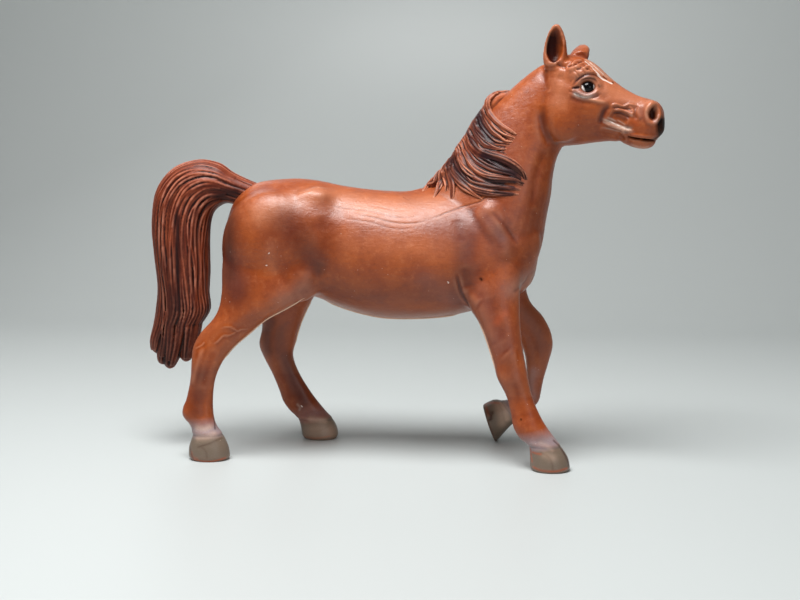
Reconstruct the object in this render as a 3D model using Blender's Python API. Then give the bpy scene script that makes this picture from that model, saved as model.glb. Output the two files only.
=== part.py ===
"""A solid moulded toy horse, walking with its near foreleg set down and its far foreleg lifted.

The figure is one smooth skin, lofted from cross-sections along the trunk, the neck, the head
and each leg, and parted where the moulded pieces are glued together. Each leg, the neck and
the tail end in a keyed pin that seats in a socket of the trunk, and the mane is laid over the
crest of the neck on two pins. +X points to the nose, +Y to the horse's left, +Z up.
"""

import bpy
import bmesh
from math import cos, copysign, pi, radians, sin
from mathutils import Matrix, Vector
from mathutils.bvhtree import BVHTree

# Trunk
BODY_LENGTH = 0.080
BELLY_HEIGHT = 0.035
BARREL_DEPTH = 0.032
BARREL_HALF_WIDTH = 0.0148

# Neck, head and ears
NECK_LENGTH = 0.036
NECK_HALF_WIDTH = 0.0110
HEAD_LENGTH = 0.0303
HEAD_HALF_WIDTH = 0.0062
HEAD_TURN = radians(-15)
EAR_LENGTH = 0.0098
EYE_RADIUS = 0.0018
NOSTRIL_HEIGHT = 0.0026
MOUTH_GAP = 0.0005

# Legs
STANCE_HALF_WIDTH = 0.0150
HOOF_HALF_WIDTH = 0.0044

# Tail and mane
TAIL_LENGTH = 0.048
TAIL_HALF_WIDTH = 0.0058
MANE_THICKNESS = 0.0015
STRAND_WIDTH = 0.0016

# Joints between the moulded pieces
SEAM_GAP = 0.0003
PIN_RADIUS = 0.0021
PIN_LENGTH = 0.0050
MANE_PIN_RADIUS = 0.0009
MANE_PIN_LENGTH = 0.0024
OVERRUN = 0.0200

# Fineness of the skin
SKIN_GRAIN = 0.0006
HAIR_GRAIN = 0.00045
SKIN_TRIANGLES = 7200
TAIL_TRIANGLES = 1700
MANE_TRIANGLES = 1850

AROUND = 28
BETWEEN = 4

scene = bpy.context.scene
for old in list(bpy.data.objects):
    bpy.data.objects.remove(old)


def add_object(name, mesh):
    """Link a new object that holds the bmesh and free the bmesh."""
    bmesh.ops.recalc_face_normals(mesh, faces=mesh.faces)
    data = bpy.data.meshes.new(name)
    mesh.to_mesh(data)
    mesh.free()
    made = bpy.data.objects.new(name, data)
    scene.collection.objects.link(made)
    return made


def smooth_rows(rows):
    """Catmull-Rom rows between the given rows, BETWEEN steps to each span."""
    last = len(rows) - 1
    fine = []
    for i in range(last):
        before, start, end, after = (rows[min(max(j, 0), last)] for j in range(i - 1, i + 3))
        for step in range(BETWEEN):
            t = step / BETWEEN
            fine.append([
                (2 * q + (r - p) * t + (2 * p - 5 * q + 4 * r - s) * t * t
                 + (3 * q - p - 3 * r + s) * t ** 3) / 2
                for p, q, r, s in zip(before, start, end, after)])
    fine.append(list(rows[-1]))
    return fine


def skin_rings(mesh, rings):
    """Faces between closed rings of points, with a cap on each end."""
    loops = [[mesh.verts.new(point) for point in ring] for ring in rings]
    count = len(loops[0])
    for lower, upper in zip(loops, loops[1:]):
        for i in range(count):
            j = (i + 1) % count
            mesh.faces.new((lower[i], lower[j], upper[j], upper[i]))
    mesh.faces.new(loops[0])
    mesh.faces.new(loops[-1][::-1])


def loft(rows, squareness_share=1.0):
    """Closed skin through cross-sections.

    A row is (x and z of the section's first edge, x and z of its other edge, y of its middle,
    half width, lean). Lean widens the section towards its first edge.
    """
    mesh = bmesh.new()
    rings = []
    for ax, az, bx, bz, y, half_width, lean in smooth_rows(rows):
        ring = []
        for i in range(AROUND):
            angle = 2 * pi * i / AROUND
            along = copysign(abs(cos(angle)) ** squareness_share, cos(angle))
            across = copysign(abs(sin(angle)) ** squareness_share, sin(angle))
            ring.append(Vector((
                (ax + bx) / 2 + (ax - bx) / 2 * along,
                y + half_width * across * (1 + lean * along),
                (az + bz) / 2 + (az - bz) / 2 * along)))
        rings.append(ring)
    skin_rings(mesh, rings)
    return add_object("loft", mesh)


def ball(centre, radii, tilt=0):
    """An ellipsoid, tilted nose up about Y."""
    mesh = bmesh.new()
    bmesh.ops.create_uvsphere(mesh, u_segments=AROUND // 2, v_segments=AROUND // 3, radius=1)
    turn = Matrix.Rotation(-tilt, 4, "Y")
    mesh.transform(Matrix.Translation(centre) @ turn @ Matrix.Diagonal((*radii, 1)))
    return add_object("ball", mesh)


def both_sides(centre, radii, tilt=0):
    """A pair of ellipsoids, or one on the middle plane."""
    sides = (1, -1) if centre[1] else (1,)
    return [ball((centre[0], centre[1] * side, centre[2]), radii, tilt) for side in sides]


def finish(target):
    """Apply the object's modifiers to its mesh."""
    graph = bpy.context.evaluated_depsgraph_get()
    data = bpy.data.meshes.new_from_object(target.evaluated_get(graph))
    target.modifiers.clear()
    target.data = data


def fuse(name, pieces, grain, smoothing, triangles=None):
    """One closed skin round overlapping pieces, with its junctions rounded."""
    mesh = bmesh.new()
    for piece in pieces:
        mesh.from_mesh(piece.data)
        bpy.data.objects.remove(piece)
    whole = add_object(name, mesh)
    remesh = whole.modifiers.new("skin", "REMESH")
    remesh.mode = "VOXEL"
    remesh.voxel_size = grain
    soften = whole.modifiers.new("soften", "SMOOTH")
    soften.factor = 0.5
    soften.iterations = smoothing
    finish(whole)
    if triangles:
        thin = whole.modifiers.new("thin", "DECIMATE")
        thin.ratio = triangles / (2 * len(whole.data.polygons))
        finish(whole)
    return whole


def combine(target, tool, operation, keep_tool=False):
    """Boolean of the target with the tool."""
    cut = target.modifiers.new("cut", "BOOLEAN")
    cut.operation = operation
    cut.solver = "EXACT"
    cut.object = tool
    finish(target)
    if not keep_tool:
        bpy.data.objects.remove(tool)


def main_body(target):
    """Drop the loose crumbs that a cut leaves beside the main body."""
    mesh = bmesh.new()
    mesh.from_mesh(target.data)
    unseen = set(mesh.verts)
    bodies = []
    while unseen:
        body = set()
        reached = [unseen.pop()]
        while reached:
            vert = reached.pop()
            body.add(vert)
            for edge in vert.link_edges:
                other = edge.other_vert(vert)
                if other in unseen:
                    unseen.remove(other)
                    reached.append(other)
        bodies.append(body)
    bodies.sort(key=len)
    for crumb in bodies[:-1]:
        bmesh.ops.delete(mesh, geom=list(crumb), context="VERTS")
    mesh.to_mesh(target.data)
    mesh.free()


def copy_of(source, name):
    twin = source.copy()
    twin.data = source.data.copy()
    twin.name = name
    scene.collection.objects.link(twin)
    return twin


def grown(source, distance):
    """A copy of a skin, moved outwards along its normals."""
    twin = copy_of(source, "grown")
    mesh = bmesh.new()
    mesh.from_mesh(twin.data)
    mesh.normal_update()
    moves = [vert.normal * distance * vert.calc_shell_factor() for vert in mesh.verts]
    for vert, move in zip(mesh.verts, moves):
        vert.co += move
    mesh.to_mesh(twin.data)
    mesh.free()
    return twin


def hull(corners, growth=0):
    """The convex block round some corners, its faces moved out by growth."""
    mesh = bmesh.new()
    for corner in corners:
        mesh.verts.new(corner)
    bmesh.ops.convex_hull(mesh, input=mesh.verts)
    bmesh.ops.dissolve_limit(mesh, angle_limit=radians(1), verts=mesh.verts, edges=mesh.edges)
    block = add_object("block", mesh)
    bigger = grown(block, growth)
    bpy.data.objects.remove(block)
    return bigger


# How far a pin starts behind its base, in shares of its length, and its girth at the tip
pin_root_share = -0.3
pin_tip_share = 0.88


def pin(base, direction, radius, length, growth=0):
    """A tapered pin with one flat side, as its key, from behind its base to length past it."""
    wide = radius + growth
    outline = [(sin(angle), cos(angle)) for angle in (pi * (2 + i) / 8 for i in range(13))]
    rings = []
    for height, girth in ((pin_root_share * length, 1.0), (length + growth, pin_tip_share)):
        rings.append([Vector((x * wide * girth, y * wide * girth, height)) for x, y in outline])
    mesh = bmesh.new()
    skin_rings(mesh, rings)
    turn = Vector(direction).to_track_quat("Z", "Y").to_matrix().to_4x4()
    mesh.transform(Matrix.Translation(base) @ turn)
    return add_object("pin", mesh)


# Trunk: each row is a cross-section, as the x and z of its back, the x and z of its belly,
# half width and lean, in shares of the body length, barrel depth and barrel half width
trunk_shares = [
    (-0.548, 0.734, -0.555, 0.469, 0.24, 0.0),
    (-0.530, 0.890, -0.543, 0.330, 0.45, 0.0),
    (-0.492, 1.000, -0.512, 0.220, 0.64, 0.0),
    (-0.440, 1.060, -0.450, 0.170, 0.78, 0.0),
    (-0.363, 1.080, -0.363, 0.155, 0.88, 0.0),
    (-0.275, 1.075, -0.275, 0.150, 0.90, 0.0),
    (-0.175, 1.025, -0.181, 0.060, 0.89, -0.05),
    (-0.063, 0.992, -0.063, -0.010, 0.97, -0.10),
    (0.050, 0.982, 0.063, -0.013, 1.00, -0.12),
    (0.144, 1.000, 0.175, 0.016, 0.95, -0.15),
    (0.225, 1.012, 0.275, 0.080, 0.87, -0.18),
    (0.312, 1.010, 0.363, 0.156, 0.75, -0.15),
    (0.388, 0.980, 0.416, 0.280, 0.56, 0.0),
    (0.430, 0.830, 0.434, 0.500, 0.30, 0.0)]


def trunk_point(x_share, y_share, z_share):
    return Vector((
        x_share * BODY_LENGTH,
        y_share * BARREL_HALF_WIDTH,
        BELLY_HEIGHT + z_share * BARREL_DEPTH))


def trunk_row(row):
    back = trunk_point(row[0], 0, row[1])
    belly = trunk_point(row[2], 0, row[3])
    return back.x, back.z, belly.x, belly.z, 0, row[4] * BARREL_HALF_WIDTH, row[5]


# Muscles of the trunk: centre as a trunk point, radii in shares of the barrel depth,
# tilt in degrees
muscle_shares = [
    ((-0.388, 0.54, 0.594), (0.390, 0.197, 0.400), 0),
    ((-0.494, 0.40, 0.531), (0.150, 0.150, 0.281), 0),
    ((-0.298, 0.66, 0.312), (0.172, 0.119, 0.187), 0),
    ((-0.250, 0.45, 0.945), (0.150, 0.110, 0.062), 6),
    ((-0.440, 0.56, 0.230), (0.150, 0.140, 0.280), -30),
    ((0.270, 0.48, 0.640), (0.200, 0.160, 0.350), -20),
    ((0.222, 0.63, 0.281), (0.140, 0.100, 0.156), 0),
    ((0.394, 0.29, 0.594), (0.120, 0.131, 0.203), 0),
    ((0.112, 0.00, 0.965), (0.219, 0.080, 0.056), 0)]

# Neck: the x and z of its crest and of its throat in shares of the neck length from the
# withers, half width in shares of its own, lean
neck_shares = [
    (-0.472, -0.139, 0.347, -0.639, 0.90, -0.20),
    (-0.345, -0.020, 0.425, -0.403, 0.93, -0.25),
    (-0.240, 0.075, 0.456, -0.208, 0.88, -0.28),
    (-0.152, 0.220, 0.486, -0.042, 0.78, -0.30),
    (-0.066, 0.370, 0.497, 0.083, 0.69, -0.30),
    (0.025, 0.505, 0.522, 0.208, 0.62, -0.28),
    (0.140, 0.615, 0.569, 0.300, 0.57, -0.20),
    (0.268, 0.733, 0.639, 0.375, 0.54, -0.10),
    (0.417, 0.839, 0.722, 0.472, 0.52, 0.0),
    (0.514, 0.842, 0.764, 0.556, 0.36, 0.0)]
withers = trunk_point(0.25, 0, 1)


def neck_point(x_share, z_share):
    return withers + Vector((x_share, 0, z_share)) * NECK_LENGTH


def neck_row(row):
    crest = neck_point(row[0], row[1])
    throat = neck_point(row[2], row[3])
    return crest.x, crest.z, throat.x, throat.z, 0, row[4] * NECK_HALF_WIDTH, row[5]


# Head: the x and z of the face line and of the jaw line in shares of the head length from the
# corner of the jaw, half width in shares of its own, lean
head_shares = [
    (0.027, 0.567, 0.010, 0.233, 0.49, 0.0),
    (0.067, 0.700, 0.053, 0.100, 0.83, 0.05),
    (0.167, 0.743, 0.150, 0.017, 0.95, 0.05),
    (0.300, 0.723, 0.300, 0.020, 1.02, 0.08),
    (0.427, 0.663, 0.443, 0.037, 0.97, 0.10),
    (0.550, 0.550, 0.567, 0.047, 0.82, 0.08),
    (0.667, 0.460, 0.667, 0.027, 0.70, 0.0),
    (0.787, 0.397, 0.760, -0.010, 0.66, 0.0),
    (0.887, 0.367, 0.867, 0.007, 0.67, 0.0),
    (0.947, 0.313, 0.940, 0.080, 0.56, 0.0),
    (0.980, 0.240, 0.977, 0.140, 0.28, 0.0)]
jaw_corner = neck_point(0.417, 0.278)
head_turning = (
    Matrix.Translation(jaw_corner) @ Matrix.Rotation(HEAD_TURN, 4, "Z")
    @ Matrix.Translation(-jaw_corner))


def head_point(x_share, y_share, z_share):
    return jaw_corner + Vector((x_share, y_share, z_share)) * HEAD_LENGTH


def head_row(row):
    face = head_point(row[0], 0, row[1])
    jaw = head_point(row[2], 0, row[3])
    return face.x, face.z, jaw.x, jaw.z, 0, row[4] * HEAD_HALF_WIDTH, row[5]


# Bones and soft parts of the face: cheek, brow, lower lid, cheek ridge, nostril wing, chin
# and upper lip, as centre, radii and tilt in degrees
feature_shares = [
    ((0.193, 0.140, 0.260), (0.187, 0.077, 0.227), 0),
    ((0.345, 0.160, 0.575), (0.120, 0.052, 0.060), -12),
    ((0.350, 0.172, 0.440), (0.090, 0.045, 0.035), -10),
    ((0.510, 0.150, 0.330), (0.150, 0.030, 0.030), -14),
    ((0.880, 0.090, 0.280), (0.070, 0.057, 0.080), 0),
    ((0.820, 0.000, 0.040), (0.100, 0.097, 0.060), 0),
    ((0.907, 0.000, 0.140), (0.080, 0.107, 0.063), 0)]

# Eyes: place on the head, radii of the ball and of its socket in shares of the eye's radius,
# how far further out the socket lies, and their tilt
eye_share = (0.349, 0.186, 0.497)
eyeball_radii_shares = (1.0, 0.70, 0.72)
socket_radii_shares = (1.25, 0.45, 0.85)
socket_out_share = (0, 0.022, 0)
EYE_TILT = radians(-8)

# Nostrils: place on the head, radii in shares of their height, tilt
nostril_share = (0.885, 0.154, 0.288)
nostril_radii_shares = (0.48, 0.38, 0.60)
NOSTRIL_TILT = radians(20)

# Mouth: x and z of its corner and of its front on the head, and the core that it ends at
mouth_shares = ((0.680, 0.090), (1.050, 0.050))
mouth_core_share = (0.740, 0, 0.060)
mouth_core_radii_shares = (0.240, 0.095, 0.100)

# Ears: root, tip and the way the open side faces, in the head's directions
ear_place_shares = {
    "right": ((0.130, -0.125, 0.664), (0.05, -0.08, 0.99), (0.25, -0.95, 0.1)),
    "left": ((0.266, 0.119, 0.722), (-0.14, 0.915, 0.37), (0.45, 0.25, -0.82))}
# Sections of an ear, and of the hollow in its open side: height, half width and half
# thickness in shares of the ear length
ear_shares = [
    (-0.14, 0.270, 0.20),
    (0.05, 0.290, 0.19),
    (0.24, 0.300, 0.17),
    (0.475, 0.272, 0.15),
    (0.685, 0.215, 0.12),
    (0.855, 0.130, 0.09),
    (0.950, 0.040, 0.04)]
hollow_shares = [
    (0.02, 0.05, 0.04),
    (0.10, 0.13, 0.09),
    (0.24, 0.19, 0.13),
    (0.475, 0.195, 0.13),
    (0.685, 0.150, 0.10),
    (0.835, 0.080, 0.06),
    (0.890, 0.030, 0.03)]
# How far the hollow stands out from the ear's middle, and how far towards its rear edge
hollow_out_share = 0.12
hollow_aside_share = 0.03


def ear(root_share, way, face, sections, out_share=0.0, aside_share=0.0):
    """A leaf-shaped ear, or the smaller leaf that hollows it out."""
    up = Vector(way).normalized()
    out = Vector(face)
    out = (out - up * out.dot(up)).normalized()
    side = up.cross(out)
    root = head_point(*root_share) + (out * out_share - side * aside_share) * EAR_LENGTH
    mesh = bmesh.new()
    rings = []
    for height, half_width, thickness in smooth_rows(sections):
        centre = root + up * height * EAR_LENGTH
        ring = []
        for i in range(AROUND // 2):
            angle = 4 * pi * i / AROUND
            ring.append(
                centre + side * half_width * EAR_LENGTH * cos(angle)
                + out * thickness * EAR_LENGTH * sin(angle))
        rings.append(ring)
    skin_rings(mesh, rings)
    return add_object("ear", mesh)


# Legs: side, place along the body, and rows. Each row is a section, as the x and z of its front
# and of its back in shares of the belly height from the leg's place on the trunk, y in shares
# of the stance, half width in shares of the hoof's
leg_shares = {
    "right_foreleg": (-1, 0.30, [
        (0.200, 1.430, -0.257, 1.430, 0.50, 1.00),
        (0.177, 1.230, -0.243, 1.230, 0.60, 1.05),
        (0.177, 1.086, -0.166, 1.086, 0.67, 0.97),
        (0.183, 0.971, -0.089, 0.971, 0.73, 0.86),
        (0.200, 0.829, -0.034, 0.829, 0.79, 0.74),
        (0.222, 0.714, 0.003, 0.714, 0.83, 0.72),
        (0.239, 0.623, 0.024, 0.623, 0.87, 0.70),
        (0.269, 0.500, 0.089, 0.500, 0.91, 0.55),
        (0.320, 0.380, 0.121, 0.380, 0.95, 0.54),
        (0.371, 0.294, 0.138, 0.294, 0.97, 0.66),
        (0.431, 0.217, 0.181, 0.217, 0.99, 0.63),
        (0.466, 0.169, 0.244, 0.169, 1.00, 0.76),
        (0.517, 0.086, 0.255, 0.086, 1.00, 0.93),
        (0.536, -0.015, 0.255, -0.015, 1.00, 1.00)]),
    "left_foreleg": (1, 0.30, [
        (0.200, 1.430, -0.200, 1.430, 0.50, 1.00),
        (0.214, 1.230, -0.186, 1.200, 0.60, 1.05),
        (0.251, 1.086, -0.114, 1.043, 0.67, 0.95),
        (0.343, 0.977, 0.043, 0.886, 0.75, 0.84),
        (0.406, 0.857, 0.160, 0.786, 0.81, 0.74),
        (0.424, 0.743, 0.206, 0.700, 0.86, 0.71),
        (0.397, 0.623, 0.224, 0.609, 0.89, 0.64),
        (0.360, 0.486, 0.232, 0.486, 0.92, 0.53),
        (0.342, 0.386, 0.230, 0.394, 0.95, 0.56),
        (0.324, 0.310, 0.157, 0.351, 0.97, 0.66),
        (0.257, 0.234, 0.094, 0.320, 0.98, 0.62),
        (0.171, 0.166, 0.043, 0.311, 0.99, 0.74),
        (0.094, 0.094, -0.014, 0.316, 1.00, 0.92),
        (0.002, -0.018, -0.100, 0.274, 1.00, 1.00)]),
    "right_hind_leg": (-1, -0.40, [
        (0.286, 1.600, -0.314, 1.600, 0.45, 1.05),
        (0.329, 1.370, -0.331, 1.370, 0.55, 1.15),
        (0.320, 1.200, -0.329, 1.200, 0.62, 1.15),
        (0.157, 1.086, -0.343, 1.086, 0.67, 1.05),
        (0.000, 1.000, -0.383, 1.000, 0.71, 0.92),
        (-0.120, 0.900, -0.474, 0.900, 0.74, 0.80),
        (-0.234, 0.800, -0.526, 0.800, 0.77, 0.72),
        (-0.311, 0.700, -0.537, 0.700, 0.79, 0.68),
        (-0.366, 0.571, -0.546, 0.571, 0.81, 0.56),
        (-0.383, 0.429, -0.577, 0.429, 0.82, 0.53),
        (-0.380, 0.323, -0.609, 0.323, 0.83, 0.64),
        (-0.360, 0.246, -0.551, 0.246, 0.84, 0.62),
        (-0.317, 0.180, -0.531, 0.180, 0.84, 0.76),
        (-0.274, 0.086, -0.560, 0.086, 0.84, 0.93),
        (-0.263, -0.015, -0.560, -0.015, 0.84, 1.00)]),
    "left_hind_leg": (1, -0.35, [
        (0.229, 1.600, -0.343, 1.600, 0.45, 1.05),
        (0.229, 1.370, -0.371, 1.370, 0.55, 1.15),
        (0.186, 1.200, -0.371, 1.200, 0.64, 1.15),
        (0.109, 1.086, -0.343, 1.086, 0.70, 1.05),
        (0.051, 0.989, -0.297, 0.989, 0.75, 0.92),
        (-0.006, 0.857, -0.294, 0.857, 0.80, 0.78),
        (-0.043, 0.729, -0.323, 0.729, 0.84, 0.70),
        (-0.060, 0.629, -0.291, 0.629, 0.86, 0.66),
        (-0.011, 0.494, -0.226, 0.494, 0.88, 0.55),
        (0.063, 0.371, -0.177, 0.371, 0.89, 0.54),
        (0.123, 0.286, -0.149, 0.286, 0.90, 0.64),
        (0.186, 0.211, -0.097, 0.211, 0.90, 0.62),
        (0.240, 0.149, -0.029, 0.149, 0.90, 0.76),
        (0.277, 0.071, -0.006, 0.071, 0.90, 0.93),
        (0.281, -0.015, 0.006, -0.015, 0.90, 1.00)])}


# How many of a leg's sections are rounded into the trunk
upper_rows = 7


def leg_row(row, side, place_share):
    x = place_share * BODY_LENGTH
    return (
        x + row[0] * BELLY_HEIGHT, row[1] * BELLY_HEIGHT,
        x + row[2] * BELLY_HEIGHT, row[3] * BELLY_HEIGHT,
        side * row[4] * STANCE_HALF_WIDTH, row[5] * HOOF_HALF_WIDTH, 0)


def face_cutters():
    """Nostrils, the hollows of the ears and the line of the mouth."""
    nostril_radii = Vector(nostril_radii_shares) * NOSTRIL_HEIGHT
    tools = both_sides(head_point(*nostril_share), nostril_radii, NOSTRIL_TILT)
    for root, way, face in ear_place_shares.values():
        tools.append(ear(root, way, face, hollow_shares, hollow_out_share, hollow_aside_share))
    lips = [head_point(x_share, 0, z_share) for x_share, z_share in mouth_shares]
    corners = [
        lip + Vector((0, side * HEAD_HALF_WIDTH, height * MOUTH_GAP / 2))
        for lip in lips for side in (1, -1) for height in (1, -1)]
    groove = hull(corners)
    core = ball(head_point(*mouth_core_share), Vector(mouth_core_radii_shares) * HEAD_LENGTH)
    combine(groove, core, "DIFFERENCE")
    tools.append(groove)
    socket = head_point(*(Vector(eye_share) + Vector(socket_out_share)))
    tools += both_sides(socket, Vector(socket_radii_shares) * EYE_RADIUS, EYE_TILT)
    for tool in tools:
        tool.data.transform(head_turning)
    return tools


def body_skin():
    """The whole horse without its mane and tail, and the space that hair keeps clear of."""
    trunk = [loft([trunk_row(row) for row in trunk_shares])]
    for centre, radii, tilt in muscle_shares:
        trunk += both_sides(trunk_point(*centre), Vector(radii) * BARREL_DEPTH, radians(tilt))
    legs = []
    for side, place, rows in leg_shares.values():
        sections = [leg_row(row, side, place) for row in rows]
        trunk.append(loft(sections[:upper_rows]))
        legs.append(loft(sections))
    pieces = [fuse("trunk", trunk, 2 * SKIN_GRAIN, 8)]
    pieces.append(loft([neck_row(row) for row in neck_shares]))
    head = [loft([head_row(row) for row in head_shares], 0.95)]
    for centre, radii, tilt in feature_shares:
        head += both_sides(head_point(*centre), Vector(radii) * HEAD_LENGTH, radians(tilt))
    for root, way, face in ear_place_shares.values():
        head.append(ear(root, way, face, ear_shares))
    for piece in head:
        piece.data.transform(head_turning)
    pieces += head + legs
    skin = fuse("skin", pieces, SKIN_GRAIN, 5, SKIN_TRIANGLES)
    around = grown(skin, SEAM_GAP)
    for tool in face_cutters():
        combine(skin, tool, "DIFFERENCE")
    eyeball_radii = Vector(eyeball_radii_shares) * EYE_RADIUS
    eyes = both_sides(head_point(*eye_share), eyeball_radii, EYE_TILT)
    for eye in eyes:
        eye.data.transform(head_turning)
        combine(skin, eye, "UNION")
    floor = hull([
        (x * BODY_LENGTH, y * BODY_LENGTH, z * OVERRUN)
        for x in (-1, 1) for y in (-1, 1) for z in (-1, 0)])
    combine(skin, floor, "DIFFERENCE")
    return skin, around


# Tail: the x and z of its outer and of its inner edge in shares of the tail length from the
# dock, half width in shares of its own
tail_shares = [
    (0.083, 0.031, 0.042, -0.104, 0.52),
    (-0.010, 0.069, -0.063, -0.073, 0.57),
    (-0.096, 0.110, -0.129, -0.058, 0.64),
    (-0.177, 0.160, -0.173, -0.075, 0.74),
    (-0.292, 0.175, -0.206, -0.108, 0.84),
    (-0.423, 0.129, -0.223, -0.163, 0.91),
    (-0.515, 0.010, -0.229, -0.240, 0.96),
    (-0.542, -0.167, -0.229, -0.333, 1.00),
    (-0.533, -0.333, -0.229, -0.427, 1.00),
    (-0.519, -0.500, -0.235, -0.531, 0.95),
    (-0.531, -0.625, -0.229, -0.625, 0.86),
    (-0.550, -0.719, -0.271, -0.698, 0.74),
    (-0.550, -0.780, -0.343, -0.780, 0.55)]
# How the strands ridge the tail's girth: coarse waves and fine ones
tail_ridge_shares = (0.03, 0.05)
# Blunt ends of the tail's three locks: path of each, from inside the tail to its tip, and
# their half widths in shares of the tail's
tail_lock_shares = [
    ((-0.47, -0.62, 0.03), (-0.515, -0.75, 0.035), (-0.543, -0.82, 0.03), (-0.552, -0.868, 0.02)),
    ((-0.43, -0.62, -0.03), (-0.450, -0.77, -0.02), (-0.476, -0.88, 0.0), (-0.494, -0.950, 0.0)),
    ((-0.32, -0.58, 0.0), (-0.335, -0.70, 0.0), (-0.365, -0.83, 0.0), (-0.382, -0.915, 0.0))]
tail_lock_width_shares = (0.55, 0.50, 0.33, 0.10)
lock_flatness_share = 0.85
dock = trunk_point(-0.475, 0, 0.97)


def tail_point(x_share, z_share, y_share=0):
    return dock + Vector((x_share, y_share, z_share)) * TAIL_LENGTH


def strand(path, half_widths, flatness_share, faces_out):
    """A tapering lock along a path, its broad side facing the way given at each point."""
    mesh = bmesh.new()
    rings = []
    for i, (point, half_width, faces) in enumerate(zip(path, half_widths, faces_out)):
        ahead = path[min(i + 1, len(path) - 1)] - path[max(i - 1, 0)]
        side = ahead.cross(faces).normalized()
        out = side.cross(ahead).normalized()
        rings.append([
            point + (side * cos(angle) + out * flatness_share * sin(angle)) * half_width
            for angle in (2 * pi * j / 10 for j in range(10))])
    skin_rings(mesh, rings)
    return add_object("strand", mesh)


def tail_form():
    """A full tail of long strands, with three blunt ends."""
    mesh = bmesh.new()
    rows = smooth_rows([
        (*tail_point(row[0], row[1]), *tail_point(row[2], row[3]), row[4] * TAIL_HALF_WIDTH)
        for row in tail_shares])
    coarse, fine = tail_ridge_shares
    count = 2 * AROUND
    rings = []
    for step, row in enumerate(rows):
        outer, inner, half_width = Vector(row[:3]), Vector(row[3:6]), row[6]
        middle = (outer + inner) / 2
        reach = (outer - inner) / 2
        ring = []
        for i in range(count):
            angle = 2 * pi * i / count
            waves = fine * sin(11 * angle + step / 16) + coarse * sin(5 * angle - step / 9)
            ridge = 1 - (fine + coarse) / 2 + waves
            ring.append(
                middle + reach * ridge * cos(angle)
                + Vector((0, half_width * ridge * sin(angle), 0)))
        rings.append(ring)
    skin_rings(mesh, rings)
    pieces = [add_object("hair", mesh)]
    for path in tail_lock_shares:
        rows = smooth_rows([(*point, width) for point, width in zip(path, tail_lock_width_shares)])
        points = [tail_point(*row[:3]) for row in rows]
        widths = [row[3] * TAIL_HALF_WIDTH for row in rows]
        faces_out = [Vector((0, -1, 0))] * len(rows)
        pieces.append(strand(points, widths, lock_flatness_share, faces_out))
    return fuse("tail", pieces, HAIR_GRAIN, 1, TAIL_TRIANGLES)


# Mane: locks rooted on the crest that sweep down and forward over the near side of the neck.
# Each is a path in shares of the neck length from the withers, and its number of strands.
mane_lock_shares = [
    ([(0.13, 0.03, 0.66), (0.06, -0.05, 0.62), (0.08, -0.13, 0.55), (0.22, -0.18, 0.42)], 2),
    ([(0.05, 0.01, 0.60), (0.03, -0.10, 0.53), (0.09, -0.17, 0.44), (0.24, -0.19, 0.35)], 3),
    ([(-0.03, 0.01, 0.50), (-0.01, -0.13, 0.42), (0.08, -0.18, 0.34), (0.23, -0.20, 0.30)], 3),
    ([(-0.07, 0.01, 0.42), (-0.03, -0.14, 0.34), (0.12, -0.20, 0.24), (0.32, -0.21, 0.11)], 4),
    ([(-0.12, 0.01, 0.35), (-0.06, -0.15, 0.24), (0.10, -0.22, 0.13), (0.32, -0.22, 0.04)], 4),
    ([(-0.17, 0.01, 0.26), (-0.09, -0.16, 0.15), (0.08, -0.23, 0.03), (0.30, -0.24, -0.02)], 4),
    ([(-0.20, 0.01, 0.20), (-0.16, -0.16, 0.11), (-0.08, -0.22, 0.02), (0.02, -0.25, -0.08)], 4),
    ([(-0.24, 0.01, 0.13), (-0.22, -0.13, 0.09), (-0.19, -0.20, 0.03), (-0.19, -0.24, -0.07)], 3),
    ([(-0.29, 0.01, 0.07), (-0.28, -0.10, 0.05), (-0.29, -0.17, 0.00), (-0.33, -0.21, -0.06)], 3),
    ([(-0.31, 0.01, 0.03), (-0.32, -0.06, 0.02), (-0.34, -0.11, -0.01), (-0.37, -0.14, -0.04)], 2)]
# The roll of hair along the crest: path, half widths in shares of the mane's thickness
crest_roll_shares = [
    (-0.32, 0.02, 0.00), (-0.25, 0.02, 0.09), (-0.16, 0.02, 0.24), (-0.08, 0.02, 0.38),
    (-0.01, 0.02, 0.52), (0.10, 0.02, 0.64)]
crest_width_shares = (0.6, 0.9, 1.05, 1.05, 1.0, 0.8)
crest_flatness_share = 0.95
# From a lock's root to its tip: half width of its flat bed in shares of its whole width, and
# how high the bed's middle lies in shares of the mane's thickness
bed_width_shares = (0.40, 0.50, 0.42, 0.14)
bed_lift_shares = (0.2, 0.3, 0.3, 0.2)
bed_flatness_share = 0.25
# The same for the strands that lie on the bed, in shares of a strand's width, how they spread,
# and how much higher each second one lies
strand_width_shares = (0.46, 0.50, 0.44, 0.20)
strand_lift_shares = (0.40, 0.45, 0.35, 0.20)
strand_spread_shares = (0.72, 0.92, 0.76, 0.28)
second_lift_share = 0.20


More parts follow.
